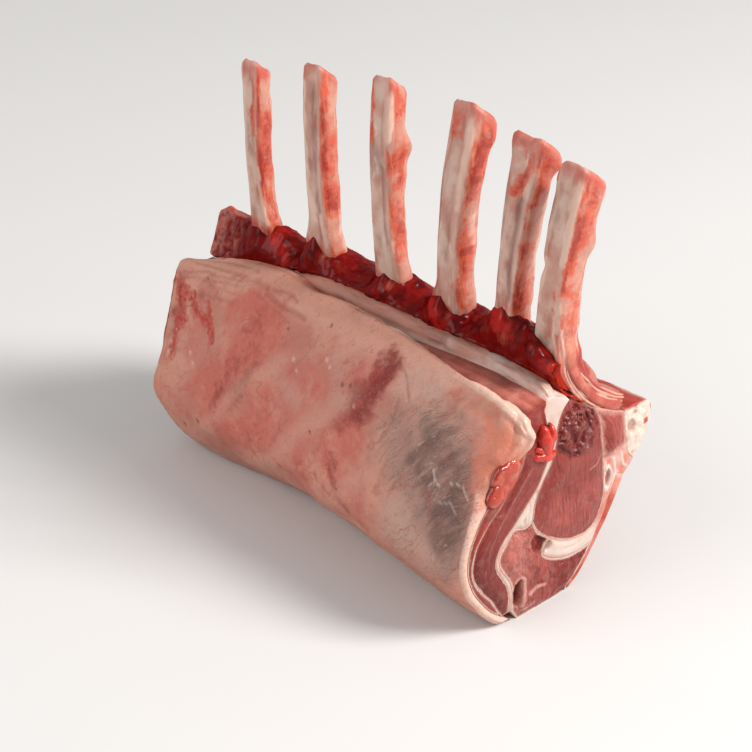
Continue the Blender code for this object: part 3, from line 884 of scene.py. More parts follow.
# %% Finish of the fat cap
def fat_cap_finish():
    f = Finish("fat_cap", (202, 128, 110), {**RAW, "Subsurface Weight": 0.1, "Specular IOR Level": 0.4})
    flow_at = f.space("flow_across", "flow_along")
    broad, middle, small = f.grain(17, 4), f.grain(5, 4, seed=3), f.grain(1.8, 3, seed=6)
    fine = f.grain(0.7, 3, seed=5)
    drawn = f.grain(2.4, 5, (1, 6, 1), 3, flow_at)
    threads = f.lines(0.03, 2.6, 4, (1, 7, 1), 7, flow_at)
    worms = f.lines(0.035, 4.0, 4, (1, 4, 1), 12, flow_at)
    f.coat((220, 154, 131), broad.step(0.38, 0.62))
    f.coat((190, 112, 98), (middle + drawn.spread(0.6)).step(0.5, 0.72) * 0.6)
    f.coat((228, 165, 143), f.mark("upper") * (middle + 0.45))
    red = f.mark("red") + middle.spread(1.1) + drawn.spread(0.5)
    f.coat((210, 104, 88), (red + small.spread(0.5)).step(0.1, 0.95) * 0.88)
    f.coat((142, 34, 22), (f.mark("crimson") + middle.spread(1.0) + small.spread(0.5)).step(0.2, 0.9))
    f.coat((218, 158, 138), (f.mark("band") * 0.8 + middle.spread(0.7)).step(0.25, 1.0) * 0.8)
    grey = f.mark("grey") + middle.spread(0.6) + drawn.spread(0.5)
    f.coat((168, 129, 116), grey.step(0.1, 0.85) * 0.9)
    soot = (f.mark("soot") + drawn.spread(1.3) + middle.spread(0.6)).step(0.15, 0.95)
    f.coat((102, 70, 62), soot * 0.8)
    in_grey = f.mark("grey").step(0.15, 0.7) * small.step(0.35, 0.6)
    f.coat((112, 84, 78), worms * in_grey * 0.45)
    f.coat((216, 190, 176), threads * in_grey * 0.5)
    f.coat((180, 92, 80), threads * small.step(0.5, 0.7) * (1 - f.mark("grey")) * 0.45)
    ash = (f.mark("ash") + middle.spread(0.8) + drawn.spread(0.8)).step(0.1, 1.0)
    f.coat((208, 166, 150), ash * 0.8)
    amber = (f.mark("amber") + middle.spread(1.0) + drawn.spread(0.5)).step(0.05, 1.0)
    f.coat((204, 118, 92), amber * 0.85)
    f.coat((190, 138, 120), f.mark("low") * (middle + 0.1) * 0.7)
    f.coat((243, 206, 188), (f.mark("rim") + small.spread(0.5)).step(0.25, 0.9) * 0.9)
    f.coat((200, 66, 50), (f.mark("blood") + small.spread(1.4) + middle.spread(0.8)).step(0.15, 1.0) * 0.9)
    f.coat((138, 28, 24), (f.mark("blood") + small.spread(2.2) + (fine - 0.5)).step(0.85, 1.5) * 0.85)
    f.coat((120, 52, 44), f.mark("nick") * 0.9)
    # Painted shade: the folds and creases are painted darker.
    f.coat((168, 98, 82), f.mark("fold") * (middle * 0.9 + 0.3))
    f.coat((246, 220, 204), f.mark("fleck") * 0.7)
    cracks = f.lines(0.03, 11, 3, (1, 2, 1), 31, flow_at) * broad.step(0.48, 0.6)
    f.coat((176, 92, 78), cracks * 0.4)
    freckles = f.grain(1.6, 2, seed=20).step(0.64, 0.76)
    f.coat((164, 80, 70), freckles * (1 - f.mark("upper")) * 0.4)
    f.coat((240, 190, 168), fine.step(0.6, 0.8) * 0.3)
    f.coat((176, 92, 78), f.grain(0.9, 3, seed=24).step(0.58, 0.78) * 0.35)
    rough = 0.46 - f.mark("blood") * 0.2 + middle.spread(0.35) - f.mark("rim") * 0.08
    lines = threads * in_grey * 0.5 - worms * in_grey * 0.22 - cracks * 0.2
    height = fine * 0.25 + small * 0.5 + middle * 0.55 + drawn * 0.45 + lines
    return f.done(Roughness=rough, Normal=f.bump(height, 0.45))


cap_skin = fat_cap_finish()
cap.piece("fat_cap_skin", cap_skin, "fat_cap", "fat_cap")

# %% [markdown]
# ## The cut muscles
# Where the knife went through, each muscle shows its fibres: end on they are a fine pebble, lengthwise
# they are streaks. A streak needs to know which way its muscle runs, so every piece carries two marks,
# lie and run, which are millimetres across and along the grain. The finish stretches its noise with them.

# %% Marks that every cut muscle carries
def muscle_marks(flesh, lie, run, seam=0.45, **more):
    """Marks of a cut muscle: its grain, its pale seams and whatever else is given."""
    on_face = (flesh.on_cut > 0.5).astype(float)
    ragged = 1 + 1.1 * flesh.flat_lumps(4, 61, 2)
    width = np.maximum(seam * (0.35 + 1.2 * smooth(46, 24, flesh.up)) * ragged, 0.02)
    rim = on_face * smooth(width, width * 0.4, flesh.depth)
    flesh.marks = {
        "lie": lie,
        "run": run,
        "seam": rim * (0.4 + 0.6 * smooth(46, 32, flesh.up)) * smooth(71, 65, flesh.up),
        "face": on_face,
        **dict.fromkeys(("wet", "pale", "dark", "bright"), 0),
        **more,
    }


def fibre_relief(lie, run, seed):
    """Ridges along the grain, in millimetres."""
    at = np.column_stack([lie / 0.9, run / 9, np.zeros(len(lie))])
    return 0.10 * lumps(at, 1.0, seed, 2)


print("height of the fibre ridges:", np.ptp(fibre_relief(np.arange(40.0), np.zeros(40), 74)).round(2), "mm")

# %% The eye of the loin
eye = cut_piece(outline(line(EYE_TOP), line(EYE_INSIDE), line(EYE_INSIDE_LOW), line(EYE_FLOOR_FAT),
                        line(EYE_FLOOR_MEAT), line(EYE_OUTSIDE)[::-1]), grain=0.33, rounding=0.2)
sway = 1.2 * lumps(eye.section / (1, 1, 3), 6, 71, 2)
eye_lie, eye_run = eye.across + 0.10 * (eye.up - 40) + sway, eye.up
hollow = smooth(0.25, 0.75, blob(eye, (34.6, 61), (9.6, 10.4), 25, 0.5) + 0.3 * eye.flat_lumps(3.6, 69, 2))
pebbles = lumps(eye.section * (0, 1, 1) + 1.2 * lumps(eye.section, 4, 70)[:, None], 1.6, 72, 1)
eye_dark = np.maximum(blob(eye, (31, 61), (2.5, 2)), blob(eye, (33, 53), (2.2, 1.2), -50))
push(eye, 1.5 * smooth(0, 6, eye.depth) + 0.35 * lumps(eye.section, 7, 73, 2)
     + fibre_relief(eye_lie, eye_run, 74)
     + hollow * (1.5 * np.sqrt(np.clip(pebbles + 0.25, 0, 1)) - 0.7) - 0.5 * eye_dark)
# In the hollow, the pits between the pebbles are painted darker (painted shade) and the pebble tops paler
# (painted highlight).
muscle_marks(eye, eye_lie, eye_run, 0.3,
             wet=np.maximum(hollow, 0.2),
             dark=0.6 * hollow * smooth(0.1, -0.3, pebbles) + 0.3 * hollow + 0.5 * eye_dark
             + 0.42 * smooth(30, 42, eye.up),
             pale=strokes(eye.section[:, 1:],
                          [(0.9, 0.6, [(48, 46), (44, 44), (40.5, 43.5)]),
                           (0.7, 0.5, [(25, 57), (29, 58.5)])], 0.6)
             + 0.45 * hollow * smooth(0.25, 0.8, pebbles))
print("points of the eye:", len(eye.points))

# %% The two muscles under the fat cap
upper_line, lower_line = line(FAT_INSIDE), line(CAP_LINE)
outer = cut_piece(outline(upper_line[1:-2], lower_line[2:-2][::-1]), grain=0.4, rounding=0.12)
outer_lie, outer_run = line_distance(outer.section[:, 1:], upper_line)
push(outer, 1.0 * smooth(0, 2, outer.depth) + 0.22 * lumps(outer.section, 3.5, 75, 2)
     + 1.5 * fibre_relief(outer_lie * 0.7, outer_run, 76))
muscle_marks(outer, outer_lie * 1.2, outer_run, 0.2,
             wet=0.25,
             dark=0.2,
             bright=0.5 * smooth(45, 60, outer.up))

inner = cut_piece(outline(line(SEAM_OUTSIDE), lower_line[::-1], line(FAT_LIP_INSIDE)[::-1]), grain=0.42,
                  rounding=0.12)
inner_lie, inner_run = line_distance(inner.section[:, 1:], line(SEAM_OUTSIDE))
sinew = strokes(inner.section[:, 1:], [
    (1.0, 0.55, [(4.5, 48), (-3, 40), (-7.5, 33), (-8, 27)]), (0.9, 0.5, [(12, 56), (4, 47.5)]),
    (0.7, 0.45, [(-4.5, 30), (-5.5, 25)]), (0.8, 0.4, [(9, 53), (5, 49)])], 0.4)
groove_floor = smooth(68, 73, inner.up)
inner.points[:, 2] -= groove_floor * (0.3 + 3.4 * (1 - groove_width(inner.x)) + far_drop(inner.x))
inner.points[:, 2] += 1.8 * smooth(-80, -20, inner.x) * groove_floor * smooth(14.2, 17.6, inner.across)
by_lip = smooth(66, 74, inner.up) * smooth(17.6, 13.6, inner.across)
by_ridge = smooth(72, 75, inner.up) * smooth(15, 17.6, inner.across)
inner.points[:, 1] -= 4.6 * smooth(-100, -42, inner.x) * by_lip
inner.points[:, 1] += 1.3 * smooth(-110, -50, inner.x) * by_ridge
strip_grain = lumps(inner.points * (0.16, 1, 1), 1.1, 85, 2)
strip_grain = strip_grain + 0.5 * lumps(inner.points * (0.5, 1, 1), 3.5, 86, 2)
strip_folds = 0.6 * lumps(inner.points * (0.4, 1, 1), 2.5, 84, 2) + 0.35 * strip_grain
inner.swell(inner.between * smooth(70, 74, inner.up) * strip_folds)
push(inner, 1.2 * smooth(0, 3.2, inner.depth) + 0.25 * lumps(inner.section, 4, 77, 2)
     + 1.6 * fibre_relief(inner_lie, inner_run, 78) + 0.2 * sinew - 0.9 * smooth(60, 66, inner.up))
muscle_marks(inner, inner_lie, inner_run, 0.22,
             wet=0.25,
             pale=0.75 * sinew + 0.9 * inner.between * smooth(0.0, 0.8, strip_grain),
             dark=(0.5 + 0.35 * smooth(42, 25, inner.up)) * (1 - inner.between)
             + inner.between * smooth(0.1, -0.8, strip_grain),
             bright=0.55 * smooth(58, 64, inner.up))
print("points of the two muscles:", len(outer.points), "and", len(inner.points))

# %% The muscle below, with its pocket
below = cut_piece(outline(line(EYE_FLOOR_MEAT)[::-1], line(LOWER_TOP), line(STRAP_INSIDE_LOW),
                          line(UNDERSIDE), line(LOWER_OUTSIDE)[::-1]), grain=0.42, rounding=0.15)
below_at = below.section[:, 1:]
pocket = blob(below, (7.6, 10.2), (1.5, 4.2), -6, 0.25)
pocket_lip = strokes(below_at, [(1, 1.3, [(9.8, 14), (10.4, 10), (9.4, 5.5)]),
                                (0.9, 0.9, [(6.3, 14.5), (8, 16), (10, 15)])], 0.3)
cave = blob(below, (17.6, 24.6), (4.2, 3.0), -38)
tongue = blob(below, (4.2, 28), (3.4, 6.2), -18)
fleck_pale = strokes(below_at, [(1, 1.2, [(13.2, 8.3), (16.5, 9.3), (19.8, 8.9)]),
                                (0.5, 0.8, [(9, 3.2), (15, 4)])], 0.5)
curd = below.flat_lumps(2.6, 79, 3)
push(below, 1.2 * smooth(0, 4, below.depth) + 0.9 * curd + 0.25 * lumps(below.section, 8, 80, 2)
     - 4.5 * pocket - 1.8 * cave + 0.7 * tongue + 0.5 * pocket_lip + 0.35 * fleck_pale)
# The pocket and the cave are dents that are also painted dark: painted shade. The darker right side is the
# meat's own colour.
muscle_marks(below, below.across + curd * 2, below.up * 0.8, 0.4,
             wet=0.45 - 0.4 * tongue,
             pale=np.maximum(fleck_pale, 0.7 * pocket_lip) + 0.45 * smooth(18, 8, below.across)
             + 0.2 * smooth(0.3, 0.8, curd),
             dark=np.clip(1.2 * pocket + 0.9 * cave + 0.7 * smooth(19, 28, below.across), 0, 1),
             bright=0.8 * tongue)
print("points of the muscle below:", len(below.points))

# %% The muscle beside the backbone
side = cut_piece(outline(line(CHINE_TOP), line(CHINE_INSIDE), line(CHINE_FLOOR), line(EYE_INSIDE)[::-1]),
                 grain=0.42, rounding=0.15)
red_spot = blob(side, (56, 53.5), (1.7, 3.2), 20)
push(side, 1.7 * smooth(0, 4.5, side.depth) + 0.7 * lumps(side.section, 4, 81, 2))
muscle_marks(side, side.across + 0.4 * side.up, side.up, 0.6,
             wet=0.2,
             bright=np.maximum(0.25, red_spot),
             dark=0.4 * red_spot,
             pale=0.5 * smooth(49, 45, side.up)
             + 0.75 * smooth(2.6, 0.3, side.depth + 0.8 * lumps(side.section, 3, 83, 2)))
print("points of the muscle beside the backbone:", len(side.points))

# %% [markdown]
# ## Finish of the muscles
# Lamb is a soft brick pink, never orange. The fibres are two stretched noises, one that darkens and one
# that catches light. Wet places are a darker red, glossier and bumpier; in the hollow of the eye the pits
# between the bumps carry painted shade and the tops of the bumps a painted highlight.

# %% Finish of the cut muscles
def muscle_finish():
    f = Finish("cut_muscle", (172, 78, 68),
               {**RAW, "Coat Roughness": 0.06, "Subsurface Weight": 0.08, "Specular IOR Level": 0.32})
    grain_at = f.space("lie", "run")
    streak = f.grain(1.1, 3, (1, 9, 1), 2, grain_at)
    thread = f.grain(0.6, 2, (1, 6, 1), 6, grain_at)
    broad, middle, fine = f.grain(8, 3), f.grain(2.6, 3, seed=11), f.grain(0.8, 3, seed=4)
    f.coat((146, 54, 47), broad.step(0.32, 0.68))
    f.coat((118, 38, 35), (streak + middle.spread(0.3)).step(0.52, 0.7) * 0.75)
    f.coat((200, 120, 108), (thread + middle.spread(0.4)).step(0.55, 0.8) * 0.7)
    f.coat((212, 150, 138), (middle * fine).step(0.36, 0.46) * 0.35)
    f.coat((196, 84, 70), f.mark("bright") * (broad + 0.4))
    # pale: pale seams and sinews, and a painted highlight on the pebble tops in the eye's hollow.
    f.coat((214, 152, 140), (f.mark("pale") + fine.spread(0.5)).step(0.1, 1.0) * 0.9)
    f.coat((150, 40, 35), f.mark("wet").step(0.5, 1.0) * (middle + 0.2))
    # dark: the meat's own darker places, and painted shade between the pebbles of the eye's hollow and in
    # the pocket and cave of the muscle below.
    f.coat((132, 42, 36), f.mark("dark") * (middle + 0.1))
    f.coat((114, 24, 20), (f.mark("dark") + middle.spread(0.5)).step(0.1, 1.1) * 0.9)
    f.coat((150, 92, 82), (broad * middle).step(0.26, 0.36) * 0.5)
    # Off the cut faces the sides are painted a lighter pink: painted light that makes up for the shade in
    # the groove behind the lip.
    sides = (1 - f.mark("face")) * ((streak + middle.spread(0.5)).step(0.7, 0.35) * 0.5 + 0.35)
    f.coat((220, 136, 120), sides)
    f.coat((236, 202, 186), f.mark("seam") * (fine * 0.7 + 0.5))
    wet = f.mark("wet")
    rough = 0.42 - wet * 0.3 + fine.spread(0.15)
    height = streak * -0.6 + thread * 0.3 + middle * 0.5 + f.grain(1.1, 3, seed=15) * (wet * 0.5 + 0.3)
    return f.done(Roughness=rough, Coat_Weight=wet.step(0.5, 1.0) * 0.12, Normal=f.bump(height, 0.5))


meat_finish = muscle_finish()
eye.piece("eye_of_loin", meat_finish, "muscle", "loin_eye")
outer.piece("outer_cap_muscle", meat_finish, "muscle", "cap_muscle_outer")
inner.piece("inner_cap_muscle", meat_finish, "muscle", "cap_muscle_inner")
below.piece("muscle_below_eye", meat_finish, "muscle", "lower_muscle")
side.piece("muscle_by_chine", meat_finish, "muscle", "chine_muscle")

# %% [markdown]
# ## White fat between the muscles
# The seam of fat starts as a wide wedge at the top and thins to a sheet further down. Its top edge is the
# grey-white ridge that runs the whole loin behind the groove. Fat that was cut fresh is nearly white and
# smooth; the ridge has dried a little, so it is duller and scratched.

# %% The seam and its ridge
FAT_MARKS = dict.fromkeys(("meaty", "dull", "tan", "pink", "scratch", "grey_streaks_and_shade", "fleck", "edge"), 0)


def seam_piece():
    cell = outline(line(RIDGE_TOP, 0.7), line(EYE_OUTSIDE), line(LOWER_OUTSIDE), line(SEAM_OUTSIDE)[::-1])
    seam = cut_piece(cell, step=0.9, grain=0.5, rounding=0.2)
    crown = smooth(75, 78, seam.up)
    knob = hump(seam.x, -42.5, 2.2) * smooth(23.5, 19, seam.across) * crown
    nick = hump(seam.x, -45.6, 1.0) * smooth(22.5, 19, seam.across) * crown
    scratches = lumps(seam.section * (0.16, 1, 1), 1.6, 91, 3)
    rolls = lumps(seam.section * (0.5, 1, 1), 6, 92, 2)
    by_groove = smooth(21, 18, seam.across) * smooth(73, 77, seam.up)
    seam.points[:, 1] += 1.2 * smooth(-110, -50, seam.x) * by_groove
    seam.points[:, 2] -= 1.9 * far_drop(seam.x) * smooth(72, 78, seam.up)
    end_roll = 0.5 + 4.6 * smooth(75, 78, seam.up)
    roll_edge(seam, line(RIDGE_TOP, 0.7)[::-1], end_roll)
    seam.swell(crown * (0.6 * rolls + 0.34 * scratches + 0.14 * lumps(seam.section, 1.2, 88, 2)
                        + 0.4 * knob * (1 + lumps(seam.section, 1.5, 90, 2)) - 0.8 * nick))
    push(seam, 0.3 + 0.25 * lumps(seam.section, 6, 93, 2)
         - 0.5 * smooth(60, 66, seam.up) * smooth(24, 20, seam.across))
    near_end = smooth(-46, -9, seam.x + 5 * lumps(seam.section, 7, 99, 2))
    on_face = seam.on_cut
    streaks = lumps(np.column_stack([seam.across * 2, seam.up * 0.3, seam.x]), 1.2, 94, 2)
    seam.marks = {
        "meaty": crown * (1 - on_face) * smooth(-122, -138, seam.x),
        "dull": crown * (1 - on_face) * (1 - near_end),
        "tan": crown * smooth(-88, -122, seam.x) * (1 - on_face),
        "pink": np.maximum((1 - on_face)
                           * (0.35 * near_end * crown
                              + smooth(77.5, 75.5, seam.up) * smooth(-60, 0, seam.x)),
                           on_face * 0.5 * smooth(60, 70, seam.up) * smooth(25.5, 18, seam.across)),
        "scratch": crown * (1 - on_face) * smooth(0.05, 0.6, scratches),
        "grey_streaks_and_shade": on_face * smooth(57, 50, seam.up) * smooth(-0.1, 0.7, streaks) * 0.8,
        "fleck": 0.3 * knob,
        "edge": on_face * smooth(0.5, 0.1, seam.depth) * smooth(70, 62, seam.up),
    }
    return seam


seam = seam_piece()
print("points of the seam:", len(seam.points))

# %% The fat under the eye and by the backbone
under = cut_piece(outline(line(EYE_FLOOR_FAT), line(LOWER_TOP), line(STRAP_INSIDE)[::-1][:-7]), grain=0.5,
                  rounding=0.15)
# The notch is a dent, and it is painted grey-brown as painted shade.
notch = blob(under, (21.6, 21.8), (2.6, 1.9), 20, 0.3)
crease = strokes(under.section[:, 1:], [(1, 0.6, [(30, 17.5), (36, 16.4), (41, 17)])], 0.5)
push(under, 0.45 + 0.3 * lumps(under.section, 5, 95, 2) - 1.2 * notch - 0.3 * crease)
under.marks = {
    **FAT_MARKS,
    "pink": smooth(43, 50, under.across) * 0.8,
    "grey_streaks_and_shade": notch,
    "edge": under.on_cut * smooth(0.5, 0.1, under.depth),
}

beside = cut_piece(outline(line(EYE_INSIDE_LOW), line(STRAP_INSIDE)[::-1][-13:],
                           line([(60, 33.5), (64.5, 37.5)]), line(CHINE_FOOT)[::-1], line(CHINE_FLOOR)),
                   grain=0.42, rounding=0.15)
oval = np.hypot((beside.across - 51.2) / 1.5, (beside.up - 35.5) / 4.2)
ring = smooth(0.35, 0.0, abs(oval - 1))
beside_at = beside.section[:, 1:]
strings = strokes(beside_at, [(1, 0.9, [(54, 42), (55, 36), (53.5, 31)]),
                              (0.8, 0.8, [(58, 43), (59, 38), (61, 36)]),
                              (0.7, 0.8, [(49.8, 42), (50, 39)])], 0.5)
push(beside, 0.35 * lumps(beside.section, 3, 96, 2) + 0.5 * ring - 0.8 * smooth(0.9, 0.5, oval)
     + 0.4 * strings)
beside.swell(smooth(0.5, 1, beside.between) * (0.25 * lumps(beside.points * (0.3, 1, 1), 3, 97, 2)))
pink = np.clip(0.6 - ring - 0.6 * strings + 0.4 * lumps(beside.section, 4, 98, 2), 0, 1)
beside.marks = {
    **FAT_MARKS,
    "dull": 0.2,
    "pink": pink,
    "scratch": 0.3 * smooth(0.9, 0.5, oval),
    "grey_streaks_and_shade": 0.3 * smooth(0.95, 0.6, oval),
    "fleck": ring * 0.4,
}
print("points of the fat under the eye and by the backbone:", len(under.points), "and", len(beside.points))

# %% Finish of the white fat
def white_fat_finish():
    f = Finish("white_fat", (228, 206, 195), {**RAW, "Subsurface Weight": 0.2, "Specular IOR Level": 0.45})
    broad, middle, fine = f.grain(9, 3), f.grain(3, 3, seed=2), f.grain(0.7, 3, seed=8)
    f.coat((220, 182, 167), broad.step(0.4, 0.7))
    f.coat((202, 142, 125), (f.mark("dull") + middle.spread(0.5)).step(0.1, 0.9))
    f.coat((204, 138, 118), f.mark("tan") * (middle * 0.6 + 0.7))
    f.coat((222, 116, 98), (f.mark("pink") + middle.spread(0.7)).step(0.15, 1.0))
    f.coat((138, 88, 78), f.mark("scratch") * (fine + 0.3) * 0.9)
    # Grey-brown: the seam's own streaks, and painted shade in the notch under the eye and the sunken middle
    # of the oval by the backbone.
    f.coat((150, 108, 96), f.mark("grey_streaks_and_shade") * (fine * 0.6 + 0.5))
    f.coat((112, 26, 22), f.mark("meaty") * 0.9)
    f.coat((250, 236, 226), f.mark("fleck"))
    f.coat((206, 136, 122), f.mark("edge") * 0.5)
    rough = 0.38 + f.mark("dull") * 0.14 + fine.spread(0.15)
    return f.done(Roughness=rough, Normal=f.bump(middle * 0.6 + fine * 0.3, 0.25))


fat_finish = white_fat_finish()
seam.piece("seam_of_fat", fat_finish, "white_fat", "seam_fat")
under.piece("fat_below_eye", fat_finish, "white_fat", "fat_under_eye")
beside.piece("fat_by_backbone", fat_finish, "white_fat", "fat_by_chine")

# %% [markdown]
# ## Backbone edge and back strap
# The chine is the sawn edge of the backbone: chalky where it is cut, with red marrow showing at its top.
# A thin strap of sinew, still red, covers the loin's back from there down to the board.

# %% The chine bone
chine = cut_piece(chine_outline, step=1.4, grain=0.42, rounding=0.5)
red_top = smooth(56.2, 58.4, chine.up)
saw = lumps(chine.points * (1, 0.3, 0.3), 1.6, 101, 2)
chine.swell(chine.between * (0.5 * lumps(chine.points, 6, 102, 3) + 0.2 * saw))
hollow_bone = blob(chine, (62.6, 51), (1.6, 2.4), 12)
crust = chine.flat_lumps(3, 103, 3)
push(chine, 0.4 + 0.9 * crust - 0.9 * hollow_bone)
chine_red = np.clip(red_top + 0.9 * smooth(0.25, 0.8, lumps(chine.points, 7, 104, 2)) * chine.between
                    + 0.9 * smooth(0.1, 0.7, chine.flat_lumps(4.5, 110, 2)) * chine.on_cut, 0, 1)
chine.marks = {
    "marrow": chine_red,
    "hollow": hollow_bone * chine.on_cut,
    "shin": 0.35 * chine.on_cut + 0.2,
    "string": smooth(0.2, 0.7, lumps(chine.points * (0.25, 1, 1), 2.4, 105, 2)),
}
print("points of the backbone edge:", len(chine.points))

# %% The back strap
strap = cut_piece(outline(line(STRAP_OUTSIDE), line(STRAP_INSIDE_LOW)[::-1], line(STRAP_INSIDE)[::-1]),
                  step=1.4, grain=0.45, rounding=0.4)
strap_wave = lumps(strap.points * (0.35, 1, 1), 5, 106, 2)
strap.swell(smooth(2, 6, strap.up) * strap.between
            * (0.4 * strap_wave + 0.15 * lumps(strap.points, 1.6, 107, 2)))
push(strap, 0.4 + 0.3 * lumps(strap.section, 2.5, 108, 2))
strap.marks = {
    "marrow": np.clip(0.75 + 0.5 * lumps(strap.points, 6, 109, 2), 0, 1) * smooth(36, 26, strap.up),
    "hollow": 0.0,
    "shin": 0.35 * smooth(26, 36, strap.up),
    "string": smooth(0.25, 0.8, strap_wave),
}
print("points of the strap:", len(strap.points))

# %% Finish of the backbone and strap
def bone_edge_finish(name, base, pale, red):
    f = Finish(name, base, {**RAW, "Subsurface Weight": 0.12, "Specular IOR Level": 0.5})
    middle, fine = f.grain(3, 4), f.grain(0.6, 3, seed=3)
    pores = f.grain(0.5, 1, seed=14).step(0.62, 0.7)
    f.coat(pale, (f.mark("shin") + middle.spread(0.9)).step(0.1, 0.7))
    f.coat(red, (f.mark("marrow") + middle.spread(0.8)).step(0.35, 1.0))
    f.coat((238, 196, 176), f.mark("string") * middle * 0.8)
    f.coat((168, 104, 90), f.mark("hollow") * 0.6)
    f.coat((150, 60, 50), pores * 0.3)
    rough = 0.4 + fine.spread(0.3)
    return f.done(Roughness=rough, Normal=f.bump(middle * 0.7 + fine * 0.4, 0.35))


backbone = bone_edge_finish("backbone", (226, 168, 150), (246, 226, 210), (186, 56, 42))
chine.piece("sawn_backbone", backbone, "bone", "chine_bone")
strap_skin = bone_edge_finish("strap", (226, 144, 124), (246, 198, 180), (190, 68, 48))
strap.piece("sinew_strap", strap_skin, "red_strap", "back_strap")

# %% [markdown]
# ## The dark meat between the ribs
# Frenching scrapes the bones bare and leaves a ragged, wet bank of meat at their feet. It is one strip of
# muscle, so it is one skin here: it climbs a little up each bone, sags between them, and on the inner side
# shows each rib as a long swelling under the shiny lining of the chest.

# %% Where the ribs stand
RIB_FOOT_X = (-143.5, -112.0, -79.5, -51.0, -26.0, -7.0)
RIB_TIP_X = (-148.5, -117.5, -85.0, -47.5, -20.0, -1.0)
RIB_TIP_UP = (147.0, 153.5, 158.0, 159.5, 156.5, 153.0)
RIB_FOOT_WIDTH = (7.5, 10.0, 10.0, 10.5, 9.5, 11.5)
RIB_TIP_WIDTH = (8.0, 9.0, 9.8, 11.0, 11.5, 10.5)
RIB_THICKNESS = (7.6, 8.0, 8.2, 9.2, 9.4, 10.8)
RIB_LEAVES_MEAT, NEAR_END = 86.0, -0.6
# The crest of the meat: station and how far it stands above its drawn line.
CREST = [(-170, 1), (-167, 5), (-162, 6), (-157, 2), (-151, 1.5), (-147, 4), (-143, 5.5), (-139, 3.5),
         (-133, 0), (-126, -2.5), (-121, 1), (-117.5, 9), (-114, 9), (-109, 3.5), (-104, 0.5), (-96, -3),
         (-88, -3.5), (-83, 2), (-79, 4), (-75, 2.5), (-70, -1.5), (-64, -3.5), (-59.5, 1.5), (-56, 5.5),
         (-52, 6), (-48, 3), (-43, -1.5), (-39, -0.5), (-34, 4.5), (-29, 9.5), (-25, 11.5), (-21, 10),
         (-16, 7.5), (-11, 7.5), (-6, 7), (-2, 4.5)]
# Where it covers the outer face of a bone: station, how far it stands out, half width.
COVERS = [(-144.5, 3.0, 5.5), (-113.5, 3.6, 6), (-79.5, 3.2, 6.5), (-53, 3.8, 5.5), (-26, 4.6, 7.5),
          (-5, 9.0, 9)]


def near_rib(x, width):
    """1 at the middle of any rib, falling off over width on both sides."""
    return sum(hump(x, foot, width) for foot in RIB_FOOT_X)


def bank_height(x):
    """How far the crest stands above its drawn line."""
    return float(np.interp(x, *np.transpose(CREST)))


def bank_cover(x):
    """How far the meat stands out over the outer face of a bone."""
    return max(cover * hump(x, middle, width) for middle, cover, width in COVERS)


print("ribs stand", [b - a for a, b in zip(RIB_FOOT_X, RIB_FOOT_X[1:])], "mm apart")

# %% The bank of meat
BANK_GRAIN, BANK_STEP = 0.62, 0.52
BANK_FLOOR = [(58.6, 58.0), (50, 61.4), (43, 65.4), (36, 69.8), (30.5, 73.2), (27.4, 76.6), (24.5, 80)]


def bank():
    """The strip of meat as one tube along the loin, its ends drawn in."""
    floor = line(BANK_FLOOR, 3.0)[1:-1] - (0, 0.4)
    cell = np.vstack([line(RIB_MEAT_TOP, BANK_GRAIN), floor])
    stations = np.arange(-LENGTH, NEAR_END, BANK_STEP)
    ends = np.minimum(stations + LENGTH, NEAR_END - stations)
    section = []
    for x, end in zip(stations, ends):
        across, up = cell.T.copy()
        crest = smooth(80.2, 86, up) * smooth(47, 37, across)
        lift = bank_height(x)
        forward = smooth(80.1, 84.5, up) * smooth(36, 29, across)
        over_ridge = smooth(28, 24.5, across) * smooth(77.5, 80, up) * smooth(-8, -40, x)
        inner_side = smooth(29, 35, across)
        foot = smooth(30, 24.5, across) * smooth(77.5, 80, up)
        far_foot = 2.4 * smooth(-138, -152, x) * smooth(-169, -163, x) * foot
        across = across - bank_cover(x) * forward - 2.3 * over_ridge - far_foot
        raised = lift * crest * (1 - 0.7 * inner_side * (lift > 0))
        up = up + raised + 0.8 * over_ridge - 1.6 * far_drop(x) * foot
        bare = smooth(-15.5, -11.5, x)
        floor_up = np.interp(across, *np.transpose(BANK_FLOOR[::-1]))
        up = up + (floor_up + 0.8 - up) * bare * smooth(27.5, 32.5, across)
        up = up - bare * 0.8 * crest * smooth(-11, -3, x)
        squeeze = 0.45 if x < -LENGTH / 2 else 0.12
        pull = 1 - squeeze * math.sqrt(max(0.0, 1 - min(end / 2.5, 1) ** 2))
        centre = np.mean(across)
        middle = np.array([centre, np.interp(centre, [24.5, 43, 58.6], [80, 65.4, 58]) + 3])
        drawn_in = middle + (np.column_stack([across, up]) - middle) * pull
        section.append(np.column_stack([np.full(len(across), x), drawn_in]))
    rings, around = len(section), len(cell)
    return Flesh(np.vstack(section), tube_quads(rings, around), end_caps(rings, around))


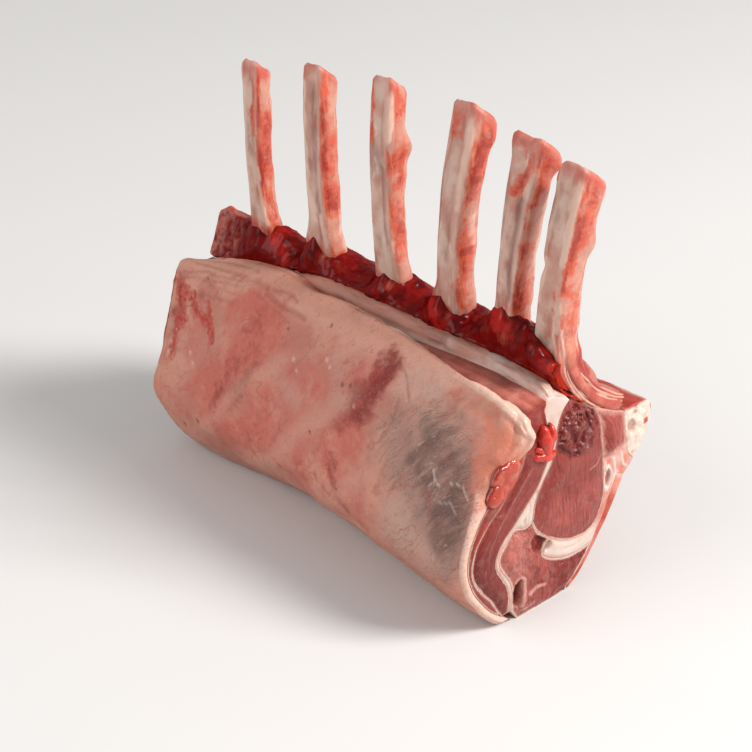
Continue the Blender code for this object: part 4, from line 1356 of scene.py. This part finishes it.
meat = bank()
front = smooth(45, 37, meat.across)
big = lumps(meat.points * (0.8, 1, 1), 7.5, 121, 2)
torn = lumps(meat.points, 2.8, 122, 3)
shreds = lumps(meat.points * (1, 0.3, 0.3), 1.9, 123, 2)
inner_ribs = near_rib(meat.x, 4.6) * (1 - front)
ends_fade = smooth(-170, -163, meat.x)
far_lump = smooth(-150, -156, meat.x) * front
meat.swell(ends_fade * (front * (0.9 * big + (0.75 - 0.5 * far_lump) * torn + 0.35 * shreds)
                        + far_lump * 0.8 * big
                        + (1 - front) * (0.35 * big + 0.12 * shreds + 1.0 * inner_ribs - 0.5)))
at = meat.points[:, [0, 2]]
glow = wash(at, [(1, 5.5, [(-27, 98), (-23, 93)]), (1, 4, [(-54, 90), (-50, 84)]),
                 (0.5, 4, [(-18, 88), (-14, 86)]), (0.8, 4, [(-138, 86), (-128, 80)]),
                 (0.7, 4, [(-104, 82), (-98, 79)]), (1.0, 4, [(-168, 91), (-160, 89)]),
                 (0.6, 4, [(-80, 86), (-74, 82)])], 1.5)
web = sum(hump(meat.x - foot, 3.5, 3.2) for foot in RIB_FOOT_X[:5])
meat.marks = {
    "front": front,
    "web": front * np.clip(web * smooth(83, 89, meat.points[:, 2]) * (0.9 + 0.6 * torn), 0, 1),
    "glow": glow * front,
    "far": far_lump * np.clip(smooth(0.4, -0.3, torn) * 0.7 + smooth(-160, -169, meat.x), 0, 1),
    "bone": inner_ribs,
    "rim": np.maximum(0.75 * smooth(-3.8, -1.0, meat.x),
                      0.6 * smooth(-22, -8, meat.x) * smooth(83.6, 82.2, meat.points[:, 2])) * front,
    "torn": torn * 0.5 + 0.5,
    # deep: where the torn surface sinks in; the finish paints it nearly black there, a painted shade in the
    # folds.
    "deep": smooth(0.2, -0.6, torn + 0.4 * big),
}
print("points of the bank of meat:", len(meat.points))

# %% [markdown]
# ## Finish of the dark meat
# This is the darkest and wettest place: deep wine red, with painted shade that makes it nearly black in the
# folds, and small hard highlights. Where it thins out over bone or fat it turns bright red and then
# orange-pink. The lining on the inner side is a thin shiny skin over both meat and bone.

# %% Finish of the bank of meat
def dark_meat_finish():
    f = Finish("dark_meat", (124, 12, 10),
               {**RAW, "Subsurface Weight": 0.06, "Specular IOR Level": 0.0, "Coat Weight": 0.3,
                             "Coat Roughness": 0.2})
    broad, middle, fine = f.grain(6, 3), f.grain(2.4, 3, seed=2), f.grain(0.9, 3, seed=4)
    down = f.grain(1.4, 3, (1, 4, 4), 6)
    # Painted shade: the sunken places are painted nearly black.
    f.coat((90, 5, 6), (broad + (f.mark("deep") - 0.4) * 0.5).step(0.35, 0.75))
    f.coat((160, 50, 44), (f.mark("torn") * 0.6 + middle * 0.6).step(0.62, 0.95) * 0.45)
    f.coat((188, 30, 24), (f.mark("glow") + middle.spread(1.1) + fine.spread(0.6)).step(0.3, 1.05) * 0.9)
    f.coat((206, 124, 112), f.mark("far") * middle.step(0.25, 0.6) * 0.9)
    f.coat((214, 112, 90), (f.mark("web") * 0.8 + down.spread(1.6)).step(0.5, 1.2) * 0.6)
    f.coat((204, 58, 38), (f.mark("rim") + middle.spread(0.9) + fine.spread(0.4)).step(0.15, 1.1) * 0.85)
    outer_face, f.colour = f.colour, shade(172, 80, 72)
    f.coat((202, 128, 114), (down + broad.spread(0.6)).step(0.38, 0.62))
    f.coat((226, 178, 162), (f.mark("bone") + middle.spread(0.5)).step(0.25, 0.9))
    f.coat(outer_face, f.mark("front"))
    rough = 0.4 + middle.spread(0.2)
    return f.done(Roughness=rough, Normal=f.bump(middle * 0.8 + down * 0.3, 0.3))


meat.piece("meat_between_ribs", dark_meat_finish(), "dark_meat", *[f"rib_meat_{i}" for i in range(1, 7)])

# %% [markdown]
# ## The ribs
# A scraped rib is smooth and pale on its outer face, where the thin skin of the bone peels clean, and red
# and shredded on its sides, where muscle was torn away. Each rib is a swept oblong with its own bumps. Its
# top is sawn on a slope, so the sweep is sheared there and closed with a spongy face.

# %% Bumps and stains of the ribs
# Bumps of each rib: height up the bone, direction in degrees (0 along the loin, 90 outward), size, length.
RIB_BUMPS = (
    [(90, 20, 1.2, 4), (118, 10, 0.5, 9), (143, 150, 0.5, 4), (127, -30, 0.5, 7)],
    [(92, 130, 1.6, 6), (90, -10, 1.2, 5), (120, -20, 0.7, 10), (106, -30, 0.7, 8)],
    [(137, -35, 2.3, 4.0), (128, -35, 0.9, 8), (95, 10, 1.2, 7), (110, -20, 0.6, 8)],
    [(152, -20, 1.8, 7), (140, -25, 0.6, 6), (112, -25, 0.9, 7), (92, 140, 1.5, 4), (93, -20, 1.4, 5)],
    [(154, 120, 1.2, 4), (152, -20, 1.6, 5), (140, 0, 0.6, 8), (116, 20, 0.5, 9), (100, -30, 0.6, 8)],
    [(148, 140, 0.7, 3), (128, -35, 1.7, 5), (138, -20, 0.5, 7), (119, 135, -0.8, 2.5), (100, 10, 0.6, 8)],
)
# Stains of each rib: strength, width and places (tens of degrees round the bone, height up it).
RIB_RED = (
    [(1.0, 3.2, [(2.6, 144), (3.6, 130), (3.2, 118), (1.5, 104), (0.5, 90)]),
     (0.9, 3, [(7, 132), (5, 122), (4, 112)]),
     (0.8, 3.5, [(0, 128), (-1, 110)])],
    [(1.0, 3, [(2.5, 150), (1, 136), (1.5, 120), (0, 104)]), (0.5, 1.4, [(13.5, 100), (14, 90)]),
     (0.7, 2.8, [(9, 90), (6, 86)])],
    [(0.7, 3, [(12, 156), (11, 146), (11, 138)]), (0.9, 2.8, [(0, 134), (0, 118), (0, 100)]),
     (0.6, 2, [(5, 136), (5, 128)]), (0.5, 2, [(2, 158), (-2, 150)])],
    [(1.0, 3.2, [(0, 154), (0.5, 140), (1, 130)]), (0.9, 2.4, [(1, 112), (1, 104)]),
     (0.6, 2.5, [(3, 100), (1, 92)]),
     (0.4, 3, [(11, 157), (10, 150)])],
    [(1.0, 2.4, [(3, 152), (6, 145), (9, 139)]), (0.8, 2.6, [(4, 136), (3.5, 130)]),
     (1.0, 2.8, [(2.5, 122), (2.5, 110), (3, 100)]), (0.5, 3, [(0, 152), (0, 140)])],
    [(1.0, 3, [(0.5, 150), (1, 138), (2, 124), (2.4, 114)]), (0.9, 1.4, [(13.5, 148), (13.2, 146)]),
     (0.6, 2, [(6, 112), (7, 106)]), (0.6, 3.5, [(0, 106), (1, 90)]), (0.8, 0.8, [(8, 92), (8, 66)]),
     (0.9, 0.8, [(4, 98), (4, 66)]), (0.9, 0.8, [(0, 98), (0, 66)]), (0.8, 0.8, [(-3.5, 98), (-3.5, 66)])],
)
RIB_DARK = (
    [(0.4, 1.6, [(4, 126), (3.6, 112)])],
    [(0.75, 3.2, [(7, 146), (6.4, 125), (5.6, 106)])],
    [(0.9, 2, [(5.8, 130), (5.2, 118), (5.2, 105)]), (0.5, 2.6, [(7.5, 150), (7.5, 134)])],
    [(0.5, 1.8, [(7.5, 134), (7.5, 116)]), (0.4, 1.8, [(10, 126), (9.5, 112)]),
     (0.35, 2.4, [(9, 150), (9, 138)])],
    [(0.95, 3, [(6, 137), (6.2, 122), (6, 104)]), (0.6, 1.4, [(7.5, 146), (9, 141)])],
    [(0.45, 3.5, [(9, 150), (9, 134)]), (0.5, 1.6, [(2, 140), (2.4, 128)])],
)
RIB_PALE = (
    [(0.9, 1.5, [(4, 111), (3.6, 107)]), (1.0, 2, [(3, 96), (2.2, 91)]),
     (0.6, 2.4, [(-3.4, 145), (-3.4, 126)]),
     (0.6, 3, [(11, 140), (11, 100)])],
    [(0.9, 2.6, [(11.5, 146), (11, 120), (9.5, 102)]), (1.0, 2.4, [(5.4, 103), (4.6, 93)]),
     (0.7, 2.6, [(-2, 103), (-2, 88)])],
    [(1.0, 2.6, [(3.2, 153), (3.2, 140)]), (0.6, 3, [(12, 128), (12, 95)]), (0.6, 2, [(3, 104), (3, 92)])],
    [(1.0, 2.6, [(4.4, 152), (4.6, 138), (4.8, 126)]), (0.7, 2.6, [(-1, 124), (-1, 114)]),
     (0.5, 2.4, [(12, 120), (12, 100)])],
    [(0.7, 1.6, [(9, 152), (6, 154)]), (0.7, 2.4, [(-2.5, 136), (-2.5, 110)]),
     (0.5, 3, [(11, 130), (11, 100)])],
    [(1.0, 2.4, [(4.4, 148), (4.6, 134), (4.8, 122)]), (1.0, 3, [(12, 122), (12, 108)]),
     (0.5, 1.6, [(4, 112), (3.6, 100)]),
     (1.0, 0.8, [(6, 100), (6, 66)]), (1.0, 0.8, [(2, 100), (2, 66)]), (0.9, 0.8, [(10, 94), (10, 66)]),
     (0.9, 0.8, [(-1.8, 98), (-1.8, 66)])],
)
print("bumps on each rib:", [len(bumps) for bumps in RIB_BUMPS])

# %% The sweep of one rib
RIB_AROUND, RIB_STEPS = 72, 190
RIB_SIDE = (0.3, 0.9, 0.8, 1.0, 1.0, 1.2)  # extra on the side towards the clean cut
TIP_MORE = 1.3  # the front of the top stands this much over the CAD tip
TOP_SLOPE = 0.58  # how much the saw dropped towards the inner side


def rib_path(number):
    """(middle line, widths) of a bone, from the board end to its tip."""
    section = spline(RIB_LINE, 700)
    section = section - np.outer(smooth(34, 46, section[:, 0]), (0, 2.4))
    path = place(RIB_FOOT_X[number], *section.T, wander=0)
    path = path[path[:, 2] < RIB_TIP_UP[number]]
    run = travelled(path)
    bare = np.clip((path[:, 2] - RIB_LEAVES_MEAT) / (RIB_TIP_UP[number] - RIB_LEAVES_MEAT), 0, 1) ** 1.2
    path[:, 0] += (RIB_TIP_X[number] - RIB_FOOT_X[number]) * bare
    even = np.linspace(0, run[-1], RIB_STEPS)
    centre = np.column_stack([np.interp(even, run, path[:, i]) for i in range(3)])
    widening = (RIB_TIP_WIDTH[number] - RIB_FOOT_WIDTH[number]) * bare
    width = np.interp(even, run, RIB_FOOT_WIDTH[number] + widening)
    return centre, width


print("length of the farthest rib:", travelled(rib_path(0)[0])[-1].round(1), "mm")


# %% Relief and marks of one rib
def swing(angle, facing):
    """How far an angle is from facing, in radians either way."""
    return np.angle(np.exp(1j * (angle - facing)))


def rib_relief(number, angle, high):
    """How far the skin of a bone stands out, in millimetres."""
    about = np.stack([high / 3.2, 4 * np.cos(angle) + 40 * number, 4 * np.sin(angle)], axis=-1)
    torn_side = smooth(0.35, 0.75, np.cos(angle + 0.35)) + 0.5 * smooth(0.5, 0.9, -np.sin(angle))
    proud = (0.30 * lumps(about / (3, 1, 1), 3.5, 131, 2) + 0.10 * lumps(about, 1.6, 132, 2)
             + torn_side * (0.35 + 0.45 * lumps(about / (1.4, 1, 1), 1.5, 133, 3)))
    for bump_up, facing, size, length in RIB_BUMPS[number]:
        off = swing(angle, math.radians(facing))
        proud = proud + size * np.exp(-((high - bump_up) / length) ** 2 - (off / 0.55) ** 2)
    proud = proud + RIB_SIDE[number] * smooth(0.1, 0.8, np.cos(angle)) * smooth(92, 102, high)
    tip = RIB_TIP_UP[number]
    proud = proud + (0.35 * lumps(about, 7, 136, 2) - 0.7 * smooth(tip - 1.8, tip, high) ** 2)
    nearest = number == len(RIB_FOOT_X) - 1
    strands = 0.55 * np.cos(9 * angle + 1.5 * lumps(about, 6, 137)) * smooth(97, 88, high) * nearest
    return proud * smooth(70, 80, high) + strands * smooth(60, 70, high)


def rib_marks(number, angle, high, on_top):
    """What the finish reads on a bone: torn sides, foot, tip, sawn top and stains."""
    c, s = np.cos(angle), np.sin(angle)
    tip = RIB_TIP_UP[number]
    drift = lumps(np.column_stack([high / 2.4, 3 * c + 30 * number, 3 * s]), 4, 135, 2)
    side_red = smooth(0.35, 0.75, np.cos(angle + 0.25 + 0.5 * drift))
    inner_red = 0.6 * smooth(0.3, 0.8, -s + 0.4 * drift)
    corner = hump(swing(angle, 0.85), 0.25 * drift, 0.2)
    marks = {
        "red": np.clip(np.maximum(side_red, inner_red), 0, 1) * (1 - 0.75 * corner),
        "corner": corner,
        "top": on_top,
        "foot": smooth(99 - 4 * c, 87 - 3 * c, high),
        "tip": smooth(tip - 10, tip - 2, high) * (1 - on_top),
        "turn_a": 4.5 * c + number * 23,
        "turn_b": 4.5 * s,
        "high": high,
    }
    spot = np.column_stack([np.degrees(swing(angle, 0.7)) / 10 + 4.0, high])
    for mark, drawn in (("stain_red", RIB_RED), ("stain_dark", RIB_DARK), ("stain_pale", RIB_PALE)):
        marks[mark] = wash(spot, drawn[number], 1.8)
    return marks


# %% Build the ribs
ALONG, UPRIGHT = np.eye(3)[0], np.eye(3)[2]
RIB_SQUARE = 0.62  # 1 would be an oval section, and 0 a square one
# Rings of the sawn top: size against the bone, and how far each stands over the cut.
TOP_RINGS = ((0.95, 0.25), (0.86, 0.32), (0.74, 0.2), (0.6, 0.0), (0.46, -0.15), (0.3, -0.2), (0.14, -0.2),
             (0.02, -0.2))


def build_rib(number, finish):
    """Sweeps one bone along its path, shears its top to the saw cut and closes it."""
    centre, width = rib_path(number)
    up, tip = centre[:, 2], RIB_TIP_UP[number]
    way = unit(np.gradient(centre, axis=0))
    outward = unit(np.column_stack([np.zeros(len(way)), -way[:, 2], way[:, 1]]))
    thickness = RIB_THICKNESS[number] * (0.72 + 0.28 * smooth(74, 88, up)) * (1 + 0.12 * smooth(97, 87, up))
    waist, foot = smooth(92, 104, up) * smooth(140, 115, up), smooth(98, 86, up)
    width = width * (1 - 0.12 * waist) * (1 + 0.16 * foot)
    turn = full_turn(RIB_AROUND)
    a = np.outer(width / 2, np.sign(np.cos(turn)) * np.abs(np.cos(turn)) ** RIB_SQUARE)
    b = np.outer(thickness / 2, np.sign(np.sin(turn)) * np.abs(np.sin(turn)) ** RIB_SQUARE)
    angle, high = np.meshgrid(turn, up)
    reach = np.hypot(a, b)
    grown = reach + rib_relief(number, angle, high)
    a, b = a * grown / reach, b * grown / reach
    about_top = np.stack([2 * np.cos(angle) + 9 * number, 2 * np.sin(angle), 0 * angle], axis=-1)
    wave = 0.9 * lumps(about_top, 1.4, 138, 2)
    drop = smooth(tip - 16, tip - 1, high) * (TOP_SLOPE * (thickness[:, None] / 2 - b) - TIP_MORE + wave)
    rings = (centre[:, None] + a[..., None] * ALONG + b[..., None] * outward[:, None]
             - drop[..., None] * UPRIGHT)
    middle_drop = thickness[-1] / 2 * TOP_SLOPE - TIP_MORE
    top = []
    for scale, lift in TOP_RINGS:
        flat_a, flat_b = a[-1] * scale, b[-1] * scale
        rough = 0.22 * lumps(np.column_stack([flat_a, flat_b, turn * 0 + number * 9]), 1.1, 134, 2)
        lifted = lift + rough - (middle_drop - (middle_drop - drop[-1]) * scale)
        top.append(centre[-1] + np.outer(flat_a, ALONG) + np.outer(flat_b, outward[-1])
                   + np.outer(lifted, UPRIGHT))
    count = RIB_STEPS + len(top)
    caps = end_caps(count, RIB_AROUND)[:, [0, 2, 1]]
    rib = joined([(np.vstack([rings.reshape(-1, 3), *top]), tube_quads(count, RIB_AROUND), caps)])
    on_top = np.repeat([0.0, 1.0], (RIB_STEPS * RIB_AROUND, len(top) * RIB_AROUND))
    all_angle = np.tile(turn, count)
    all_high = np.concatenate([high.ravel(), np.repeat(tip + 2.0 * np.arange(1, len(top) + 1), RIB_AROUND)])
    rib.marks = rib_marks(number, all_angle, all_high, on_top)
    rib.piece(f"bare_rib_{number + 1}", finish, "bone", f"rib_{number + 1}")


# %% Finish of the ribs
def rib_finish():
    f = Finish("scraped_bone", (220, 185, 169),
               {**RAW, "Subsurface Weight": 0.1, "Specular IOR Level": 0.5})
    bone_at = f.space("turn_a", "high", "turn_b")
    streak = f.grain(1.1, 3, (1, 6, 1), 2, bone_at)
    long_stain = f.grain(2.8, 3, (1, 7, 1), 5, bone_at)
    patch = f.grain(3.6, 4, (1, 2.6, 1), 9, bone_at)
    shred = f.grain(1.5, 4, (1, 2.6, 1), 14, bone_at)
    broad, middle, fine = f.grain(14, 3), f.grain(3.0, 4, (1, 1, 2.2), 2), f.grain(0.8, 3, seed=7)
    speck = f.grain(0.9, 2, (1, 1.6, 1), 21, bone_at)
    f.coat((205, 153, 136), (broad * 0.5 + patch * 0.5).step(0.42, 0.58))
    f.coat((156, 114, 103), long_stain.step(0.48, 0.7) * 0.7)
    f.coat((182, 92, 78), (long_stain * patch).step(0.26, 0.4) * 0.6)
    f.coat((238, 210, 197), streak.step(0.56, 0.74) * 0.6)
    f.coat((208, 134, 114), (f.mark("red") + patch.spread(0.5)).step(0.1, 0.7) * 0.85)
    red = f.mark("red") * 0.35 + f.mark("stain_red") * 0.9 + middle.spread(1.0) + patch.spread(1.9)
    f.coat((218, 92, 62), (red + speck.spread(0.9)).step(0.25, 0.78))
    f.coat((168, 42, 30), (red + shred.spread(1.6) + speck.spread(1.4)).step(0.7, 1.4) * 0.85)
    torn_pale = f.mark("red") * (1.1 - patch * 1.2 + shred * 0.7 + streak * 0.9 - 0.9)
    f.coat((232, 164, 140), torn_pale.step(0.3, 0.75) * 0.6)
    dark = f.mark("stain_dark") + streak.spread(0.8) + patch.spread(0.6)
    f.coat((124, 66, 56), dark.step(0.2, 1.1) * 0.75)
    f.coat((240, 202, 184), (f.mark("stain_pale") + shred.spread(1.1)).step(0.25, 1.0) * 0.8)
    f.coat((240, 196, 176), f.mark("corner") * (streak + 0.1) * 0.7)
    f.coat((206, 96, 80), (f.mark("tip") * 0.8 + patch.spread(1.4)).step(0.4, 1.1) * 0.8)
    foot = f.mark("foot") * 0.9 + shred.spread(1.2)
    f.coat((208, 108, 84), foot.step(0.3, 0.9) * 0.85)
    f.coat((180, 48, 38), (f.mark("foot") + patch.spread(1.8) + (shred - 0.5)).step(0.55, 1.2) * 0.85)
    f.coat((230, 158, 138), f.mark("top") * 0.9)
    f.coat((176, 84, 68), f.mark("top") * fine.step(0.5, 0.7) * 0.6)
    rough = 0.44 + middle.spread(0.3) - f.mark("red") * 0.12 + f.mark("tip") * 0.15
    torn = f.mark("red") * 0.8 + f.mark("foot") * 0.5
    height = streak * 0.35 + fine * 0.15 + (shred * 0.8 + middle * 0.5) * torn
    return f.done(Roughness=rough, Normal=f.bump(height, 0.6))


scraped_bone = rib_finish()
for number in range(len(RIB_FOOT_X)):
    build_rib(number, scraped_bone)

# %% [markdown]
# ## Sinews and soft tags
# Cords of sinew run from the foot of the nearest rib down to the backbone, and two soft red lumps cling to
# the cut. A cord is a thin tube that bends with the bone under it. A lump is a dome of points, pressed
# into lobes and set slightly into the meat so that it looks grown there, not dropped on.

# %% A cord of sinew
CORD_AROUND = 12
# How far each cord lies off the bone, its top and its end, its radius and its station.
CORDS = ((-3.2, 93, 66.5, 0.75, -1.3), (-1.4, 90, 62, 0.6, -1.0), (0.6, 88, 60, 0.8, -0.8),
         (2.2, 92, 61, 0.6, -1.1), (3.6, 88, 62, 0.6, -1.6), (-4.6, 88, 70, 0.5, -2.2),
         (1.4, 84, 60.5, 0.5, -0.5), (-2.4, 86, 63, 0.45, -0.7), (-0.4, 82, 61, 0.5, -0.9),
         (3.0, 80, 60, 0.45, -0.9))


def cord(path, radius, seed):
    """(points, quads, triangles) of a tube along a path, thinner at its ends."""
    path = spline(path, 60)
    path = path + np.column_stack([0.3 * lumps(path, 5, seed), 0.5 * lumps(path, 6, seed + 1),
                                   0.5 * lumps(path, 6, seed + 2)])
    way = unit(np.gradient(path, axis=0))
    side_way = unit(np.cross(way, (1, 0, 0)))
    third = np.cross(way, side_way)
    turn = full_turn(CORD_AROUND)[None, :, None]
    share = np.linspace(0, 1, len(path))
    thick = radius * (0.45 + 0.55 * np.sin(math.pi * share) ** 0.5) * (1 + 0.3 * lumps(path, 4, seed + 3))
    ring = path[:, None] + thick[:, None, None] * (np.cos(turn) * side_way[:, None]
                                                   + 0.6 * np.sin(turn) * third[:, None])
    return ring.reshape(-1, 3), tube_quads(len(path), CORD_AROUND), end_caps(len(path), CORD_AROUND)


def sinews():
    drawn = []
    for number, (offset, start, end, radius, x) in enumerate(CORDS):
        path = spline(RIB_LINE, 300)
        path = path[(path[:, 1] < start) & (path[:, 1] > end)][::-1]
        path = path[np.linspace(0, len(path) - 1, 8).round().astype(int)]
        across, up = path.T
        drop = smooth(34, 46, across) * 2.4
        bent = np.column_stack([x + 0.9 * smooth(86, 100, up), across + offset * 0.6,
                                up - drop + offset * 0.75])
        drawn.append(cord(bent, radius, 140 + 5 * number))
    cords = joined(drawn)
    cords.marks = {"marrow": 0.35 + 0.35 * lumps(cords.points, 5, 180, 2), "hollow": 0.0, "shin": 0.45,
                   "string": 0.6}
    return cords


sinew_skin = bone_edge_finish("sinew", (212, 116, 96), (232, 168, 148), (190, 70, 52))
sinews().piece("sinews_of_near_rib", sinew_skin, "bone")


# %% Soft tags on the cut
def lobe(centre, half_width, half_height, bulge, seed, tilt=0.0, furrows=()):
    """(points, quads, caps) of one dome on the clean cut. furrows are (place across it, depth)."""
    rings, around = 30, 84
    turn = full_turn(around)
    round_about = np.column_stack([2 * np.cos(turn), 2 * np.sin(turn), turn * 0 + seed])
    edge = 1 + 0.14 * lumps(round_about, 1.5, seed, 2)
    points = []
    for level in np.linspace(0, 1, rings):
        angle = level * math.pi / 2
        size, height = max(math.cos(angle) ** 0.75, 0.02), math.sin(angle) ** 0.7
        points.append(np.column_stack([np.full(around, bulge * height - 0.6),
                                       half_width * size * np.cos(turn) * edge,
                                       half_height * size * np.sin(turn) * edge]))
    points = np.vstack(points)
    for spot, depth in furrows:
        furrow = hump(points[:, 1] / half_width, spot, 0.22)
        points[:, 0] -= depth * furrow * smooth(0, bulge, points[:, 0])
    c, s = math.cos(math.radians(tilt)), math.sin(math.radians(tilt))
    placed = np.column_stack([points[:, 0], centre[0] + c * points[:, 1] - s * points[:, 2],
                              centre[1] + s * points[:, 1] + c * points[:, 2]])
    return placed, tube_quads(rings, around), end_caps(rings, around)[:, [0, 2, 1]]


def tag(seed, *lobes):
    """Lobes that grow into one another, as one piece."""
    made = joined(lobes)
    points = made.section
    made.swell(0.7 * lumps(points, 3.6, seed, 2) + 0.15 * lumps(points, 1.4, seed + 1, 2))
    border = smooth(2.0, 0.2, made.points[:, 0])
    made.marks = {
        # deep: darker at the foot of the lump where it meets the cut, a painted shade in that crease,
        # broken up at random.
        "deep": np.clip(border + 0.5 * lumps(points, 3, seed + 2, 2), 0, 1),
        "light": smooth(0.1, 0.7, lumps(points, 2.6, seed + 3, 2)),
    }
    return made


def jelly_finish(name, base, deep, light):
    f = Finish(name, base, {**RAW, "Subsurface Weight": 0.3, "Specular IOR Level": 0.6})
    middle, fine = f.grain(2.2, 3), f.grain(0.7, 3, seed=3)
    # Painted shade at the foot of each lump, in the deep colour.
    f.coat(deep, (f.mark("deep") + middle.spread(0.6)).step(0.3, 1.0))
    f.coat(light, f.mark("light") * (middle + 0.2))
    rough = 0.2 + middle.spread(0.2)
    return f.done(Roughness=rough, Normal=f.bump(middle * 0.6 + fine * 0.3, 0.3))


red_jelly = jelly_finish("red_jelly", (212, 52, 34), (150, 18, 14), (232, 116, 88))
red_lump = tag(190, lobe((17.3, 63.4), 2.5, 6.2, 4.4, 191, 6), lobe((20.4, 63.6), 2.0, 5.4, 3.6, 194, -4),
               lobe((17.4, 58.0), 5.6, 2.1, 3.8, 192, -8), lobe((16.2, 60.4), 3.2, 1.8, 3.2, 193, -30))
red_lump.piece("red_lump_on_cut", red_jelly, "red_strap", "red_tag")
soft_jelly = jelly_finish("soft_jelly", (190, 66, 44), (160, 38, 26), (216, 122, 96))
soft_lump = tag(200, lobe((0.8, 57.2), 7.2, 5.0, 2.6, 201, 34, ((-0.25, 0.6),)),
                lobe((-1.6, 53.2), 7.4, 4.2, 2.8, 202, 32, ((0.2, 0.5),)))
soft_lump.piece("soft_lump_on_cut", soft_jelly, "red_strap", "fat_tag")

# %% [markdown]
# ## Table, light and camera
# The stage is a pale sheet under soft light: a large warm-white window from the right and a little behind,
# so the cut end and the right faces of the bones are the brightest, and a wide dim one from the front
# left so that the fat cap keeps its colour. The camera looks down at the corner between them.

# %% Floor
def table_top():
    mesh = bpy.data.meshes.new("table_top")
    reach = 3.0
    corners = [(-reach, -reach, 0), (reach, -reach, 0), (reach, reach, 0), (-reach, reach, 0)]
    mesh.from_pydata(corners, [], [(0, 1, 2, 3)])
    f = Finish("table_top", (243, 242, 241), {"Roughness": 0.75, "Specular IOR Level": 0.2})
    f.coat((240, 239, 239), f.grain(90, 2))
    mesh.materials.append(f.done())
    top = bpy.data.objects.new("table_top", mesh)
    bpy.context.scene.collection.objects.link(top)
    top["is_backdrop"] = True


table_top()
print("table top:", bpy.data.objects["table_top"].dimensions.x, "m wide")

# %% Lights
def window(name, stand, aim, size, power, colour):
    """A square area light that stands at a place, in metres, and faces a point."""
    light = bpy.data.lights.new(name, "AREA")
    light.size, light.energy, light.color = size, power, colour
    lamp = bpy.data.objects.new(name, light)
    lamp.location = stand
    lamp.rotation_euler = (Vector(aim) - Vector(stand)).to_track_quat("-Z", "Y").to_euler()
    bpy.context.scene.collection.objects.link(lamp)


middle_of_box = (cad_box[0] + cad_box[1]) / 2
window("key_window", (1.15, 0.55, 1.05), middle_of_box, 0.6, 33, (1.0, 0.98, 0.95))
window("front_window", (-0.5, -1.35, 0.9), middle_of_box, 1.2, 12.5, (1.0, 0.98, 0.96))
world = bpy.data.worlds.new("pale_room")
world.use_nodes = True
world.node_tree.nodes["Background"].inputs["Color"].default_value = (1.0, 0.99, 0.98, 1)
world.node_tree.nodes["Background"].inputs["Strength"].default_value = 0.4
bpy.context.scene.world = world
bpy.context.scene.view_settings.view_transform = "Standard"
print("lights:", [light.name for light in bpy.data.lights])

# %% Camera
def look(aim, azimuth, elevation, distance, lens):
    """A camera at a direction round the object, in degrees, that looks at a point."""
    a, e = math.radians(azimuth), math.radians(elevation)
    back = Vector((math.sin(a) * math.cos(e), -math.cos(a) * math.cos(e), math.sin(e)))
    camera = bpy.data.objects.new("camera", bpy.data.cameras.new("camera"))
    camera.data.lens, camera.data.sensor_width = lens, 36
    camera.data.clip_start = 0.02
    camera.location = Vector(aim) + back * distance
    camera.rotation_euler = (-back).to_track_quat("-Z", "Y").to_euler()
    bpy.context.scene.collection.objects.link(camera)
    bpy.context.scene.camera = camera


look(aim=(0.0272, -0.0281, 0.0723), azimuth=45, elevation=28, distance=0.78, lens=114.9)
print("camera at", [round(c, 3) for c in bpy.context.scene.camera.location], "m")

# %% Sizes, to compare with the CAD box
visual_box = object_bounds()
for label, box in (("CAD", cad_box), ("visual", visual_box)):
    print(label, "box in mm:", [[round(c * 1000, 1) for c in corner] for corner in box])
